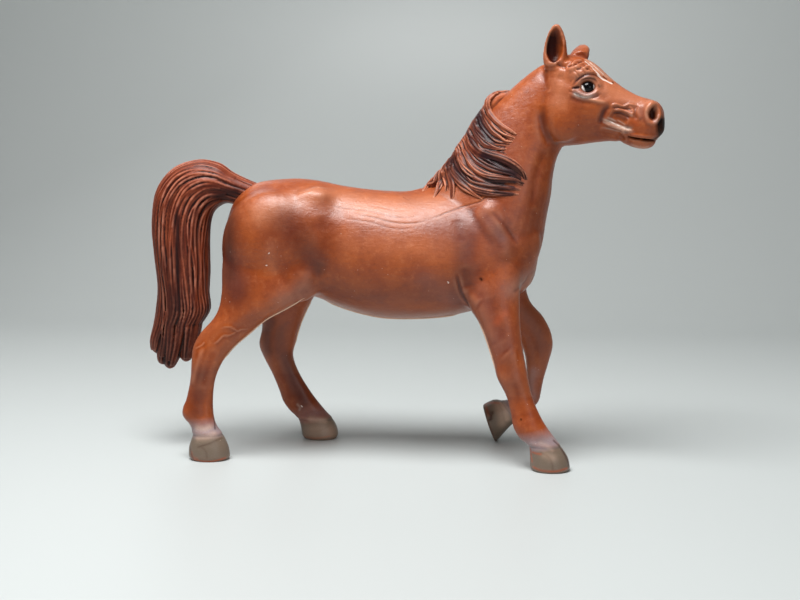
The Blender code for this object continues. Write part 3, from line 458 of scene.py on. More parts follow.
# Side and place along the body; then x and z of the front, x and z of the back as shares of the
# belly's height, y as a share of the stance and half width as a share of the hoof's
LEGS = {
    "right_foreleg": (-1, 0.30, [
        (0.200, 1.430, -0.257, 1.430, 0.50, 1.00),
        (0.177, 1.230, -0.243, 1.230, 0.60, 1.05),
        (0.177, 1.086, -0.166, 1.086, 0.67, 0.97),
        (0.183, 0.971, -0.089, 0.971, 0.73, 0.86),
        (0.200, 0.829, -0.034, 0.829, 0.79, 0.74),
        (0.222, 0.714, 0.003, 0.714, 0.83, 0.72),
        (0.239, 0.623, 0.024, 0.623, 0.87, 0.70),
        (0.269, 0.500, 0.089, 0.500, 0.91, 0.55),
        (0.320, 0.380, 0.121, 0.380, 0.95, 0.54),
        (0.371, 0.294, 0.138, 0.294, 0.97, 0.66),
        (0.431, 0.217, 0.181, 0.217, 0.99, 0.63),
        (0.466, 0.169, 0.244, 0.169, 1.00, 0.76),
        (0.517, 0.086, 0.255, 0.086, 1.00, 0.93),
        (0.536, -0.015, 0.255, -0.015, 1.00, 1.00)]),
    "left_foreleg": (1, 0.30, [
        (0.200, 1.430, -0.200, 1.430, 0.50, 1.00),
        (0.214, 1.230, -0.186, 1.200, 0.60, 1.05),
        (0.251, 1.086, -0.114, 1.043, 0.67, 0.95),
        (0.343, 0.977, 0.043, 0.886, 0.75, 0.84),
        (0.406, 0.857, 0.160, 0.786, 0.81, 0.74),
        (0.424, 0.743, 0.206, 0.700, 0.86, 0.71),
        (0.397, 0.623, 0.224, 0.609, 0.89, 0.64),
        (0.360, 0.486, 0.232, 0.486, 0.92, 0.53),
        (0.342, 0.386, 0.230, 0.394, 0.95, 0.56),
        (0.324, 0.310, 0.157, 0.351, 0.97, 0.66),
        (0.257, 0.234, 0.094, 0.320, 0.98, 0.62),
        (0.171, 0.166, 0.043, 0.311, 0.99, 0.74),
        (0.094, 0.094, -0.014, 0.316, 1.00, 0.92),
        (0.002, -0.018, -0.100, 0.274, 1.00, 1.00)]),
    "right_hind_leg": (-1, -0.40, [
        (0.286, 1.600, -0.314, 1.600, 0.45, 1.05),
        (0.329, 1.370, -0.331, 1.370, 0.55, 1.15),
        (0.320, 1.200, -0.329, 1.200, 0.62, 1.15),
        (0.157, 1.086, -0.343, 1.086, 0.67, 1.05),
        (0.000, 1.000, -0.383, 1.000, 0.71, 0.92),
        (-0.120, 0.900, -0.474, 0.900, 0.74, 0.80),
        (-0.234, 0.800, -0.526, 0.800, 0.77, 0.72),
        (-0.311, 0.700, -0.537, 0.700, 0.79, 0.68),
        (-0.366, 0.571, -0.546, 0.571, 0.81, 0.56),
        (-0.383, 0.429, -0.577, 0.429, 0.82, 0.53),
        (-0.380, 0.323, -0.609, 0.323, 0.83, 0.64),
        (-0.360, 0.246, -0.551, 0.246, 0.84, 0.62),
        (-0.317, 0.180, -0.531, 0.180, 0.84, 0.76),
        (-0.274, 0.086, -0.560, 0.086, 0.84, 0.93),
        (-0.263, -0.015, -0.560, -0.015, 0.84, 1.00)]),
    "left_hind_leg": (1, -0.35, [
        (0.229, 1.600, -0.343, 1.600, 0.45, 1.05),
        (0.229, 1.370, -0.371, 1.370, 0.55, 1.15),
        (0.186, 1.200, -0.371, 1.200, 0.64, 1.15),
        (0.109, 1.086, -0.343, 1.086, 0.70, 1.05),
        (0.051, 0.989, -0.297, 0.989, 0.75, 0.92),
        (-0.006, 0.857, -0.294, 0.857, 0.80, 0.78),
        (-0.043, 0.729, -0.323, 0.729, 0.84, 0.70),
        (-0.060, 0.629, -0.291, 0.629, 0.86, 0.66),
        (-0.011, 0.494, -0.226, 0.494, 0.88, 0.55),
        (0.063, 0.371, -0.177, 0.371, 0.89, 0.54),
        (0.123, 0.286, -0.149, 0.286, 0.90, 0.64),
        (0.186, 0.211, -0.097, 0.211, 0.90, 0.62),
        (0.240, 0.149, -0.029, 0.149, 0.90, 0.76),
        (0.277, 0.071, -0.006, 0.071, 0.90, 0.93),
        (0.281, -0.015, 0.006, -0.015, 0.90, 1.00)])}
# How many of a leg's sections are rounded into the trunk
UPPER_ROWS = 7
for side, place, rows in LEGS.values():
    x = place * BODY_LENGTH
    sections = [
        (x + row[0] * BELLY_HEIGHT, row[1] * BELLY_HEIGHT,
         x + row[2] * BELLY_HEIGHT, row[3] * BELLY_HEIGHT,
         side * row[4] * STANCE_HALF_WIDTH, row[5] * HOOF_HALF_WIDTH * HOOF_FIT, 0)
        for row in rows]
    trunk.append(loft(sections[:UPPER_ROWS]))
    forms.append(loft(sections))
forms.append(fuse("trunk", trunk, MUSCLE_GRAIN, 8))
skin = fuse("skin", forms, SKIN_GRAIN, 16)
skin.data.transform(Matrix.Translation(RECENTRED))

# The face and the hooves are cut finer than the rest, for their lids, veins and painted lines
HOOF_REACH = 17.5 * MM
head_home = (Matrix.Translation(RECENTRED) @ head_turning).inverted()
fine = bmesh.new()
fine.from_mesh(skin.data)
face_faces = []
for face in fine.faces:
    place = (head_home @ face.calc_center_median() - jaw_corner) / HEAD_LENGTH
    on_face = place.x > 0.16 and -0.12 < place.z < 0.80 and abs(place.y) < 0.6
    if on_face or face.calc_center_median().z < HOOF_REACH:
        face_faces.append(face)
face_edges = list({edge for face in face_faces for edge in face.edges})
bmesh.ops.subdivide_edges(fine, edges=face_edges, cuts=1, use_grid_fill=True)
fine.to_mesh(skin.data)
fine.free()
settle(skin, 2)


# Sculpting on the skin: creases, veins and folds are pressed in or raised along lines that the
# photograph shows, and its airbrushed paint is laid on in the same way, as soft strokes, much of
# it painted shade and painted highlight.
JUMP = 6 * MM


def ray_through(px, py):
    """The way that the camera looks through a pixel of the photograph."""
    ray = look.to_track_quat("-Z", "Y") @ Vector((
        (px - FRAME_WIDTH / 2) / FOCAL_PIXELS, (FRAME_HEIGHT / 2 - py) / FOCAL_PIXELS, -1))
    return ray.normalized()


def longest_run(found, place=lambda item: item):
    """The longer of the runs without a jump that start from either end of a row of points."""
    runs = []
    for order in (found, found[::-1]):
        kept = order[:1]
        for item in order[1:]:
            if (place(item) - place(kept[-1])).length < JUMP:
                kept.append(item)
        runs.append(kept)
    return max(runs, key=len)


class Surface:
    """The points of a mesh, with the marks that are laid on them."""

    def __init__(self, target):
        self.target = target
        self.tree = BVHTree.FromObject(target, bpy.context.evaluated_depsgraph_get())
        count = len(target.data.vertices)
        self.places = np.empty(count * 3)
        target.data.vertices.foreach_get("co", self.places)
        self.places = self.places.reshape(-1, 3)
        self.facing = np.empty(count * 3)
        target.data.vertices.foreach_get("normal", self.facing)
        self.facing = self.facing.reshape(-1, 3)
        self.height = np.zeros(count)
        self.paint = {}

    def seen(self, px, py):
        """The surface point that the photograph shows at a pixel, and the way it faces."""
        ray = ray_through(px, py)
        spot, out, _, _ = self.tree.ray_cast(camera.location, ray)
        if spot is None:
            middle = camera.location - ray * camera.location.y / ray.y
            spot, out, _, _ = self.tree.find_nearest(middle)
        return spot, out

    def line(self, pixels, steps=8):
        """Points on the surface along a line of pixels, without those that miss their run."""
        return longest_run([self.seen(*pixel)[0] for pixel in smooth_rows(pixels, steps)])

    def near(self, points, reach):
        """Which vertices lie near a line, how far from it, and how far along it."""
        line = np.array(points)
        low, high = line.min(0) - reach, line.max(0) + reach
        found = np.flatnonzero(((self.places > low) & (self.places < high)).all(1))
        places = self.places[found]
        away = np.linalg.norm(places - line[0], axis=1)
        along = np.zeros(len(found))
        for i in range(len(line) - 1):
            step = line[i + 1] - line[i]
            share = np.clip((places - line[i]) @ step / max(step @ step, 1e-18), 0, 1)
            gap = np.linalg.norm(places - line[i] - share[:, None] * step, axis=1)
            closer = gap < away
            away[closer] = gap[closer]
            along[closer] = (i + share[closer]) / (len(line) - 1)
        keep = away < reach
        return found[keep], away[keep], along[keep]

    def fade(self, away, along, width, ends):
        """A soft bell across a line that dies away towards its ends."""
        bell = np.exp(-(away / width) ** 2)
        taper = np.ones_like(along)
        if ends:
            taper = np.clip(np.minimum(along, 1 - along) / ends, 0, 1)
            taper = taper * taper * (3 - 2 * taper)
        return bell * taper

    def press(self, points, width, height, ends=0.25):
        """Raise a ridge, or press a crease with a height below zero, in millimetres."""
        found, away, along = self.near(points, 3 * width * MM)
        self.height[found] += height * MM * self.fade(away, along, width * MM, ends)

    def brush(self, name, points, width, strength, ends=0.0):
        """Lay on soft paint along a line."""
        layer = self.paint.setdefault(name, np.zeros(len(self.places)))
        found, away, along = self.near(points, 3 * width * MM)
        layer[found] = np.maximum(layer[found], strength * self.fade(away, along, width * MM, ends))

    def write(self):
        """Move the points out by their heights and store the paint on the mesh."""
        self.places += self.facing * self.height[:, None]
        self.target.data.vertices.foreach_set("co", self.places.ravel())
        self.target.data.update()


def mirrored(points, on_head=False):
    """The same line on the other side of the body or of the head."""
    if not on_head:
        return [Vector((p.x, 2 * RECENTRED.y - p.y, p.z)) for p in points]
    flipped = []
    for point in points:
        home = head_home @ point
        home.y = -home.y
        flipped.append(head_home.inverted() @ home)
    return flipped


def on_both_sides(spot, out):
    """A point of the head and the way it faces, and the same for the head's other side."""
    twin = mirrored([spot], on_head=True)[0]
    twin_tip = mirrored([spot + out * MM], on_head=True)[0]
    return (spot, out), (twin, (twin_tip - twin).normalized())


horse = Surface(skin)

# Head: name, line of pixels, width and height in millimetres
HEAD_CREASES = [
    ("upper lid", [(574, 88), (577.5, 83.5), (582.5, 78.8), (588.5, 77.0), (595, 78.5), (599.5, 84),
        (601, 88)], 0.42, 0.30),
    ("lid fold", [(573, 84.5), (578, 79.5), (584.5, 75.2), (592, 74.2), (599, 77.2), (602, 81.5)],
        0.30, -0.26),
    ("lower lid", [(574, 89), (580, 93.2), (587, 95.2), (594, 93.6), (600, 89)], 0.36, 0.28),
    ("lower lid fold", [(571, 92), (578, 96.2), (587, 98.6), (596, 97), (602, 92.5)], 0.30, -0.18),
    ("eye corner", [(571, 88.2), (575, 87.8), (580, 86.8)], 0.30, -0.34),
    ("eye corner fold a", [(568, 91), (573, 92.5), (579, 95)], 0.26, -0.12),
    ("eye corner fold b", [(569, 85.8), (573, 85), (577, 83)], 0.26, -0.08),
    ("under eye hollow", [(568, 96), (577, 100), (588, 102.2), (596, 101)], 0.8, -0.22),
    ("cheek ridge", [(580, 96.5), (588, 98.6), (598, 101), (609, 103)], 0.60, 0.32),
    ("brow", [(570, 81), (577, 74.5), (586, 71), (597, 72.5), (604, 79)], 0.9, 0.22),
    ("brow wrinkle a", [(573, 70), (577, 73), (580, 77)], 0.25, -0.14),
    ("brow wrinkle b", [(579, 68), (583, 71), (586, 74.5)], 0.25, -0.14),
    ("brow wrinkle c", [(600, 75), (603, 80), (604, 86), (602, 92)], 0.6, -0.12),
    ("cheek rear", [(543.5, 104), (544, 118), (548, 132), (554, 142)], 1.4, -0.24),
    ("hollow behind nose bone", [(611, 105.5), (605, 110), (601.5, 118), (600, 125)], 0.7, -0.42),
    ("nose bone", [(604, 99), (614, 100.5), (626, 101.5), (640, 104)], 1.1, 0.20),
    ("vein upper", [(610, 106), (616, 104.6), (623, 106.5), (630, 104.8), (638, 106.3)], 0.30, 0.30),
    ("vein upper groove", [(611, 108.4), (618, 107.6), (626, 109), (636, 108.6)], 0.28, -0.24),
    ("vein middle", [(613, 110.5), (619, 109.6), (625, 111), (631, 114), (634, 117.5)], 0.34, 0.34),
    ("vein middle groove", [(612, 113.5), (619, 112.6), (626, 115.6), (631, 119)], 0.34, -0.26),
    ("vein lower", [(604, 123.5), (612, 126), (622, 129.5), (634, 132)], 0.45, 0.28),
    ("vein low groove", [(606, 120), (616, 123), (626, 127.2), (634, 129)], 0.40, -0.24),
    ("vein fork", [(628, 106), (633, 110.5), (633, 115)], 0.32, 0.26),
    ("cheek hollow", [(610, 114), (618, 118), (628, 122)], 1.3, -0.42),
    ("cheek hollow edge", [(598, 128), (608, 131), (620, 134)], 0.8, 0.18),
    ("nostril fold", [(641, 103), (638, 111), (641, 120)], 0.6, 0.24),
    ("nostril groove", [(637.5, 105), (634.8, 112), (637, 120)], 0.5, -0.20),
    ("mouth", [(627, 136.6), (632, 138.4), (640, 139.6), (648, 140.6), (657, 140.8)], 0.28, -0.95),
    ("lip above", [(626, 133.5), (638, 135.4), (648, 136.4), (656, 136)], 0.45, 0.24),
    ("lip below", [(630, 142.0), (640, 144.5), (650, 145.3)], 0.8, 0.24),
    ("mouth corner", [(621, 130), (625, 136), (627, 142)], 0.5, 0.25),
    ("chin crease", [(617, 141), (626, 145), (634, 148)], 0.7, -0.22),
    ("ear root", [(541, 66), (548, 67.5), (556, 66.5), (564, 63.5)], 0.5, -0.25),
    ("ear fold", [(557, 62), (561, 66), (567, 68)], 0.45, -0.28),
    ("ear muscle", [(546, 70), (556, 72), (566, 70.5)], 0.9, 0.22),
    ("temple", [(556, 77), (566, 81), (572, 84)], 1.2, -0.20),
    ("poll", [(540, 72), (546, 80), (548, 92)], 1.0, -0.20)]
for _, pixels, width, height in HEAD_CREASES:
    points = horse.line(pixels)
    horse.press(points, width, height)
    horse.press(mirrored(points, on_head=True), width, height)

# The forelock is cut short: knobbly tufts between the ears, with pits between them that are
# darkened as painted shade
TUFTS = [
    ([(572.5, 64.5), (576, 61.5), (580, 61.0)], 0.50, 0.38), ([(577, 67.0), (581, 64.2),
        (585.5, 64.0)], 0.48, 0.36),
    ([(571, 69.0), (574.5, 67.4)], 0.55, 0.34), ([(583.5, 68.6), (588, 66.4), (591, 67.6)], 0.45, 0.30),
    ([(566, 63.5), (569.5, 61.8)], 0.50, 0.30)]
TUFT_PITS = [
    [(573.2, 65.8), (575.5, 64.6), (578.0, 64.2)], [(579.2, 62.9), (581.6, 62.4)],
    [(577.4, 69.4), (579.8, 68.4), (581.4, 67.0)], [(584.0, 66.4), (585.6, 66.0)],
    [(568.6, 66.4), (571.0, 65.8)], [(587.0, 69.4), (589.2, 69.2), (590.6, 70.4)]]
for pixels, width, height in TUFTS:
    horse.press(horse.line(pixels), width, height, ends=0)
for pixels in TUFT_PITS:
    horse.press(horse.line(pixels), 0.26, -0.30, ends=0)
    horse.brush("near_black_and_shade", horse.line(pixels), 0.20, 0.6)

# The nostrils are pits with a rolled rim: centre, radii along and across, depth and rim
NOSTRIL_AT = (654.2, 113)
NOSTRIL_RADII = (1.35, 1.95)
NOSTRIL_LEAN = radians(20)
NOSTRIL_DEPTH = 1.5
NOSTRIL_RIM = 0.28


def pit(surface, centre, out, along, radii, depth, rim):
    """Press an oval pit with a raised rim into the surface."""
    across = out.cross(along).normalized()
    along = across.cross(out).normalized()
    gap = surface.places - np.array(centre)
    flat = np.hypot(gap @ np.array(along) / (radii[0] * MM), gap @ np.array(across) / (radii[1] * MM))
    close = (flat < 2.2) & (abs(gap @ np.array(out)) < 3 * MM)
    wall = np.clip((1.05 - flat) / 0.5, 0, 1)
    shape = -depth * wall * wall * (3 - 2 * wall) + rim * np.exp(-((flat - 1.3) / 0.28) ** 2)
    surface.height[close] += shape[close] * MM
    # The floor of each pit is darkened near-black, partly as painted shade in the hollow
    inside = surface.paint.setdefault("near_black_and_shade", np.zeros(len(surface.places)))
    inside[close] = np.maximum(inside[close], 0.9 * np.clip((1.0 - flat[close]) / 0.3, 0, 1))


centre, out = horse.seen(*NOSTRIL_AT)
lean_way = Vector((sin(NOSTRIL_LEAN) + 1, 0, -sin(NOSTRIL_LEAN)))
for spot, out in on_both_sides(centre, out):
    pit(horse, spot, out, lean_way, NOSTRIL_RADII, NOSTRIL_DEPTH, NOSTRIL_RIM)

# The eye lies in a shallow socket between its lids
EYE_AT = (588, 86.5)
SOCKET_RADII = (2.10, 1.62)
SOCKET_DEPTH = 0.55
EYES = on_both_sides(*horse.seen(*EYE_AT))
for spot, out in EYES:
    pit(horse, spot, out, Vector((1, 0, 0)), SOCKET_RADII, SOCKET_DEPTH, 0.0)

# Trunk and legs: lines of pixels, width and height, and how much of it the far side has
BODY_CREASES = [
    ("hip ridge", [(294, 199), (306, 193), (316, 189), (324, 188)], 1.1, 0.26, True),
    ("behind hip", [(330, 189), (334, 197), (335, 207), (331, 220)], 2.2, -0.18, True),
    ("flank fold", [(318, 215), (324, 235), (325, 258), (318, 280)], 3.0, -0.35, True),
    ("stifle fold", [(322, 262), (318, 276), (311, 290), (300, 297)], 1.6, -0.28, True),
    ("haunch edge", [(247, 215), (262, 206), (280, 204)], 3.5, 0.12, True),
    ("shoulder edge", [(500, 205), (486, 222), (474, 245), (470, 268)], 2.2, -0.30, True),
    ("shoulder blade", [(482, 202), (496, 222), (506, 245), (505, 262)], 2.0, 0.30, True),
    ("shoulder fold a", [(469, 209), (477, 222), (485, 233), (494, 246)], 1.3, -0.18, 0.4),
    ("shoulder fold b", [(491, 211), (502, 222), (510, 233), (518, 245)], 0.8, -0.17, 0.3),
    ("shoulder fold c", [(480, 208), (489, 220), (498, 232), (506, 243)], 0.9, -0.09, 0.3),
    ("shoulder front", [(457, 218), (459, 230), (463, 244)], 1.2, -0.12, 0.5),
    ("elbow", [(456, 272), (459, 285), (461.5, 293), (466, 302), (471, 310)], 0.5, -0.32, True),
    ("elbow inner", [(463, 266), (468, 280), (475, 292), (486, 299)], 1.3, -0.20, True),
    ("elbow bulge", [(465, 286), (472, 297), (480, 305)], 1.5, 0.22, True),
    ("chest fold a", [(520.5, 295), (526, 290), (530.5, 283), (533, 275)], 0.50, -0.20, 0.4),
    ("chest fold b", [(513, 293), (519, 288), (526, 280), (529, 272)], 0.60, -0.12, 0.4),
    ("breast swell", [(520, 292), (528, 284), (532, 272)], 1.3, 0.22, True),
    ("arm groove", [(490, 296), (496, 318), (504, 342)], 1.6, -0.16, True),
    ("arm muscle", [(480, 302), (486, 322), (494, 344)], 1.4, 0.16, True),
    ("back wrinkle a", [(349, 212.6), (362, 215.4), (376, 218), (389, 221.6), (404, 223.6),
        (419, 222.4), (430, 219)], 0.20, -0.11, False),
    ("back wrinkle b", [(318, 203), (335, 206), (352, 209), (367, 210.6), (382, 214), (396, 217),
        (412, 216.8), (428, 214.4)], 0.18, -0.09, False),
    ("back wrinkle c", [(338, 216), (354, 220), (370, 222), (386, 227), (402, 229), (418, 227)],
        0.18, -0.07, False),
    ("back wrinkle d", [(364, 205), (380, 207), (394, 210), (409, 210)], 0.16, -0.06, False),
    ("back scratch", [(402, 196), (406, 199), (410, 200.4)], 0.16, -0.08, False),
    ("neck seam", [(428, 219), (436, 217), (448, 212), (460, 207.5), (472, 204), (480, 201.5),
                   (484, 198.5), (488, 196.5), (500, 197)], 0.20, -0.14, False),
    ("windpipe", [(556, 150), (548, 180), (546, 205)], 1.4, 0.22, True),
    ("jugular groove", [(545, 150), (536, 178), (532, 210)], 1.3, -0.28, True),
    ("throat fold", [(540, 110), (543, 130), (550, 148)], 1.0, -0.25, True),
    ("thigh vein a", [(219, 328.7), (228.4, 326.7), (233.7, 328.7), (237.6, 330.7), (241.6, 329.4),
        (249.6, 329)], 0.22, 0.17, False),
    ("thigh vein b", [(212.4, 344.6), (217.7, 341.3), (223, 336), (228.4, 335.6), (233.7, 333.3),
        (237.6, 330.7)], 0.22, 0.16, False),
    ("thigh vein c", [(194.5, 349), (201.8, 345.3), (205, 341.3)], 0.24, 0.14, False),
    ("gaskin tendon", [(204, 346), (197, 366), (192, 386)], 0.8, 0.25, False),
    ("gaskin hollow", [(214, 350), (208, 368), (203, 388)], 1.1, -0.18, False),
    ("hock point", [(190, 372), (186, 392), (184, 408)], 0.9, 0.22, False),
    ("cannon groove", [(205, 392), (203, 408), (203, 420)], 0.9, -0.16, True),
    ("fore cannon groove", [(514, 380), (520, 402), (527, 422)], 1.1, -0.13, False),
    ("knee", [(505, 352), (511, 357), (518, 357)], 1.8, 0.12, False),
    ("far shin", [(283, 357), (292, 378), (303, 402)], 0.9, -0.07, False)]
for _, pixels, width, height, far_too in BODY_CREASES:
    points = horse.line(pixels)
    horse.press(points, width, height)
    if far_too:
        horse.press(mirrored(points), width, height * far_too)

# Mould flash: a thin pale fin where the halves of the mould met, under the belly, down the
# front of the hind legs and the back of the near foreleg. By moulding: its side, the way out
# of the outline in pixels, and a line of pixels; the belly's runs along the middle plane.
FLASH_RADIUS = 0.19 * MM
FLASH_RISE = 0.08 * MM
FLASH_SINK = 0.45 * MM
FLASH_LINES = {
    "right_hind_leg": (-1, (0.5, 0.87), [(316.5, 294.4), (305, 293.6), (293.3, 300), (286.7, 307.4),
        (276, 314.6),
                       (266.8, 320.7), (258, 328.5), (249.6, 335.4), (242, 341), (233.7, 349),
                           (225.7, 359.4), (219, 371)]),
    "left_hind_leg": (1, (1.0, 0.3), [(313, 297.5), (309.3, 301.5), (306.6, 308), (300.6, 320),
        (294.7, 331.7), (292.7, 344),
                      (294.2, 362)]),
    "right_foreleg": (-1, (-1.0, 0.3), [(471, 313), (478, 323), (485, 343), (493, 369), (501, 386)])}
BELLY_FLASH = (317, 466)


def on_middle(px, py):
    """The point of the horse's middle plane that a pixel shows."""
    ray = ray_through(px, py)
    return camera.location + ray * ((RECENTRED.y - camera.location.y) / ray.y)


def outline_spot(px, py, way, side):
    """The point where the outline of one side's leg passes near a pixel, from outside."""
    for step in range(40):
        share = 4 - step / 5
        ray = ray_through(px + way[0] * share, py + way[1] * share)
        spot, out, _, _ = horse.tree.ray_cast(camera.location, ray)
        if spot is not None and (spot.y - RECENTRED.y) * side > 1.5 * MM:
            return spot, out
    return None, None


flash_paths = {}
for name, (side, way, pixels) in FLASH_LINES.items():
    found = [outline_spot(px, py, way, side) for px, py in smooth_rows(pixels, 6)]
    kept = longest_run([knot for knot in found if knot[0] is not None], lambda knot: knot[0])
    # Each point moves halfway to the middle of its neighbours, three times
    for _ in range(3):
        kept = kept[:1] + [
            ((before[0] + here[0] * 2 + after[0]) / 4, here[1])
            for before, here, after in zip(kept, kept[1:], kept[2:])] + kept[-1:]
    flash_paths[name] = kept
belly = []
for step in range(81):
    px = BELLY_FLASH[0] + (BELLY_FLASH[1] - BELLY_FLASH[0]) * step / 80
    below = Vector((on_middle(px, 310).x, RECENTRED.y, 12 * MM))
    spot, out, _, _ = horse.tree.ray_cast(below, Vector((0, 0, 1)))
    if spot is not None and spot.z < BELLY_HEIGHT * 1.25:
        belly.append((spot + Vector((0, 0, -0.20 * MM)), Vector((0, 0, -1))))
flash_paths["torso"] = belly


# Legs: the coronet crease above each hoof, and the paint of hoof and pastern
def ring_of(row, place, side):
    """A ring of points round a leg at one of its sections."""
    x = place * BODY_LENGTH
    front = Vector((x + row[0] * BELLY_HEIGHT, side * row[4] * STANCE_HALF_WIDTH, row[1] * BELLY_HEIGHT))
    back = Vector((x + row[2] * BELLY_HEIGHT, side * row[4] * STANCE_HALF_WIDTH, row[3] * BELLY_HEIGHT))
    reach = (front - back) / 2
    centre = (front + back) / 2 + RECENTRED
    across = Vector((0, row[5] * HOOF_HALF_WIDTH, 0))
    return [centre + reach * cos(a) + across * sin(a) for a in (2 * pi * i / 48 for i in range(49))]


for name, (side, place, rows) in LEGS.items():
    # Last section is the sole, the one before it the hoof wall, then the coronet
    coronet = ring_of(rows[-3], place, side)
    horse.press(coronet, 0.36, -0.07, ends=0)
    horse.press([p + Vector((0, 0, 0.8 * MM)) for p in coronet], 0.6, 0.12, ends=0)
    horse.brush("edge", coronet, 0.22, 0.22)
    sole = ring_of(rows[-1], place, side)
    horse.brush("edge", sole, 0.42, 1.0)

# Distances that hoof and pastern paint fade over
hoof = np.zeros(len(horse.places))
sock = np.zeros(len(horse.places))
for name, (side, place, rows) in LEGS.items():
    near_side = np.sign(horse.places[:, 1] - RECENTRED.y) == side
    x = place * BODY_LENGTH + RECENTRED.x

    def middle(row):
        return np.array((
            x + (row[0] + row[2]) / 2 * BELLY_HEIGHT, side * row[4] * STANCE_HALF_WIDTH,
            (row[1] + row[3]) / 2 * BELLY_HEIGHT))

    low, high = middle(rows[-1]), middle(rows[-4])
    axis = (low - middle(rows[-3])) / np.linalg.norm(low - middle(rows[-3]))
    past = (horse.places - middle(rows[-3])) @ axis
    box = near_side & (np.linalg.norm(horse.places - middle(rows[-3]), axis=1) < 16 * MM)
    hoof[box] = np.maximum(hoof[box], np.clip((past[box] + 0.3 * MM) / (1.2 * MM), 0, 1))
    strength = 0.42 if name == "left_hind_leg" else 0.95
    sock[box] = np.maximum(sock[box], 0.9 * strength * np.clip((past[box] + 4.6 * MM) / (3.0 * MM), 0, 1))
horse.paint["hoof"] = hoof
horse.paint["sock"] = sock

# Airbrushed paint, most of it painted shade in dark brown and mauve and painted highlight in pale
# pink, pale violet and orange: which layer, lines of pixels, width in millimetres, strength, far
# side's share
SPRAYED = [
    ("shade", [(229, 212), (226, 240), (228, 265), (236, 292)], 4.2, 1.10, True),
    ("shade", [(288, 222), (304, 240), (312, 262)], 5.0, 0.85, True),
    ("shade", [(324, 214), (322, 235), (318, 262)], 4.0, 0.50, True),
    ("shade", [(352, 225), (400, 228), (440, 225)], 3.0, 0.15, True),
    ("shade", [(462, 226), (466, 248), (464, 278), (460, 296)], 3.4, 0.75, True),
    ("shade", [(488, 225), (500, 236), (508, 250)], 4.0, 0.55, True),
    ("shade", [(536, 180), (534, 215), (530, 250)], 3.5, 0.45, True),
    ("shade", [(541, 120), (545, 138), (552, 148)], 2.4, 0.35, True),
    ("shade", [(330, 290), (380, 300), (430, 298)], 3.5, 0.40, True),
    ("shade", [(200, 376), (197, 395), (196, 411)], 2.4, 0.85, True),
    ("shade", [(271, 322), (267, 334), (268, 350)], 2.2, 0.95, False),
    ("shade", [(285, 357), (293, 378), (304, 402)], 2.4, 1.00, False),
    ("shade", [(280, 330), (279, 345), (284, 360)], 2.6, 0.70, False),
    ("shade", [(527, 310), (536, 326), (540, 345)], 3.0, 0.60, False),
    ("shade", [(498, 330), (508, 358), (518, 392)], 2.6, 0.65, True),
    ("shade", [(470, 211), (477, 222), (485, 233), (493, 244)], 1.1, 0.60, 0.4),
    ("shade", [(492, 212), (502, 222), (510, 233), (517, 243)], 0.55, 0.60, 0.3),
    ("shade", [(456, 222), (457, 240), (460, 262)], 1.8, 0.55, True),
    ("shade", [(484, 296), (492, 318), (500, 340)], 3.0, 0.35, True),
    ("near_black_and_shade", [(230, 222), (229, 247), (231, 272)], 2.0, 0.36, True),
    ("lilac_paint_and_sheen", [(484, 214), (493, 226), (502, 238)], 1.1, 0.14, 0.3),
    ("lilac_paint_and_sheen", [(455, 214), (466, 218), (474, 228)], 1.2, 0.25, 0.3),
    ("painted_highlight", [(272, 246), (270, 258), (273, 270)], 1.6, 0.20, True),
    ("painted_highlight", [(575, 72), (600, 86), (630, 98), (648, 104)], 3.0, 0.50, True),
    ("painted_highlight", [(562, 76), (560, 86), (560, 100)], 2.6, 0.40, True),
    ("belly", [(330, 302), (370, 312), (420, 315), (460, 310)], 3.4, 0.75, True),
    ("belly", [(285, 300), (305, 290)], 3.0, 0.45, True),
    ("belly", [(512, 290), (522, 282), (532, 276)], 2.4, 0.75, True),
    ("purple_shade", [(456, 226), (475, 230), (503, 226)], 6.0, 0.42, True),
    ("purple_shade", [(512, 140), (516, 160), (520, 185)], 4.5, 0.30, True),
    ("purple_shade", [(480, 290), (488, 315), (498, 345)], 2.6, 0.45, True),
    ("purple_shade", [(425, 280), (445, 292), (455, 302)], 3.0, 0.45, True),
    ("purple_shade", [(232, 265), (236, 282)], 3.5, 0.25, True),
    ("lilac_paint_and_sheen", [(534, 372), (531, 385), (533, 398)], 1.3, 0.55, False),
    ("painted_highlight", [(262, 212), (290, 203), (318, 192)], 3.5, 0.55, True),
    ("painted_highlight", [(340, 199), (390, 206), (440, 203)], 4.5, 0.60, True),
    ("painted_highlight", [(590, 66), (612, 84), (640, 98)], 1.8, 0.45, True),
    ("wear_and_highlight", [(497, 322), (502, 316), (506, 313)], 0.9, 0.55, False),
    ("painted_highlight", [(350, 240), (390, 246), (440, 243)], 4.5, 0.22, True)]
for layer, pixels, width, strength, far_too in SPRAYED:
    points = horse.line(pixels)
    horse.brush(layer, points, width, strength)
    if far_too:
        horse.brush(layer, mirrored(points), width, strength * far_too)
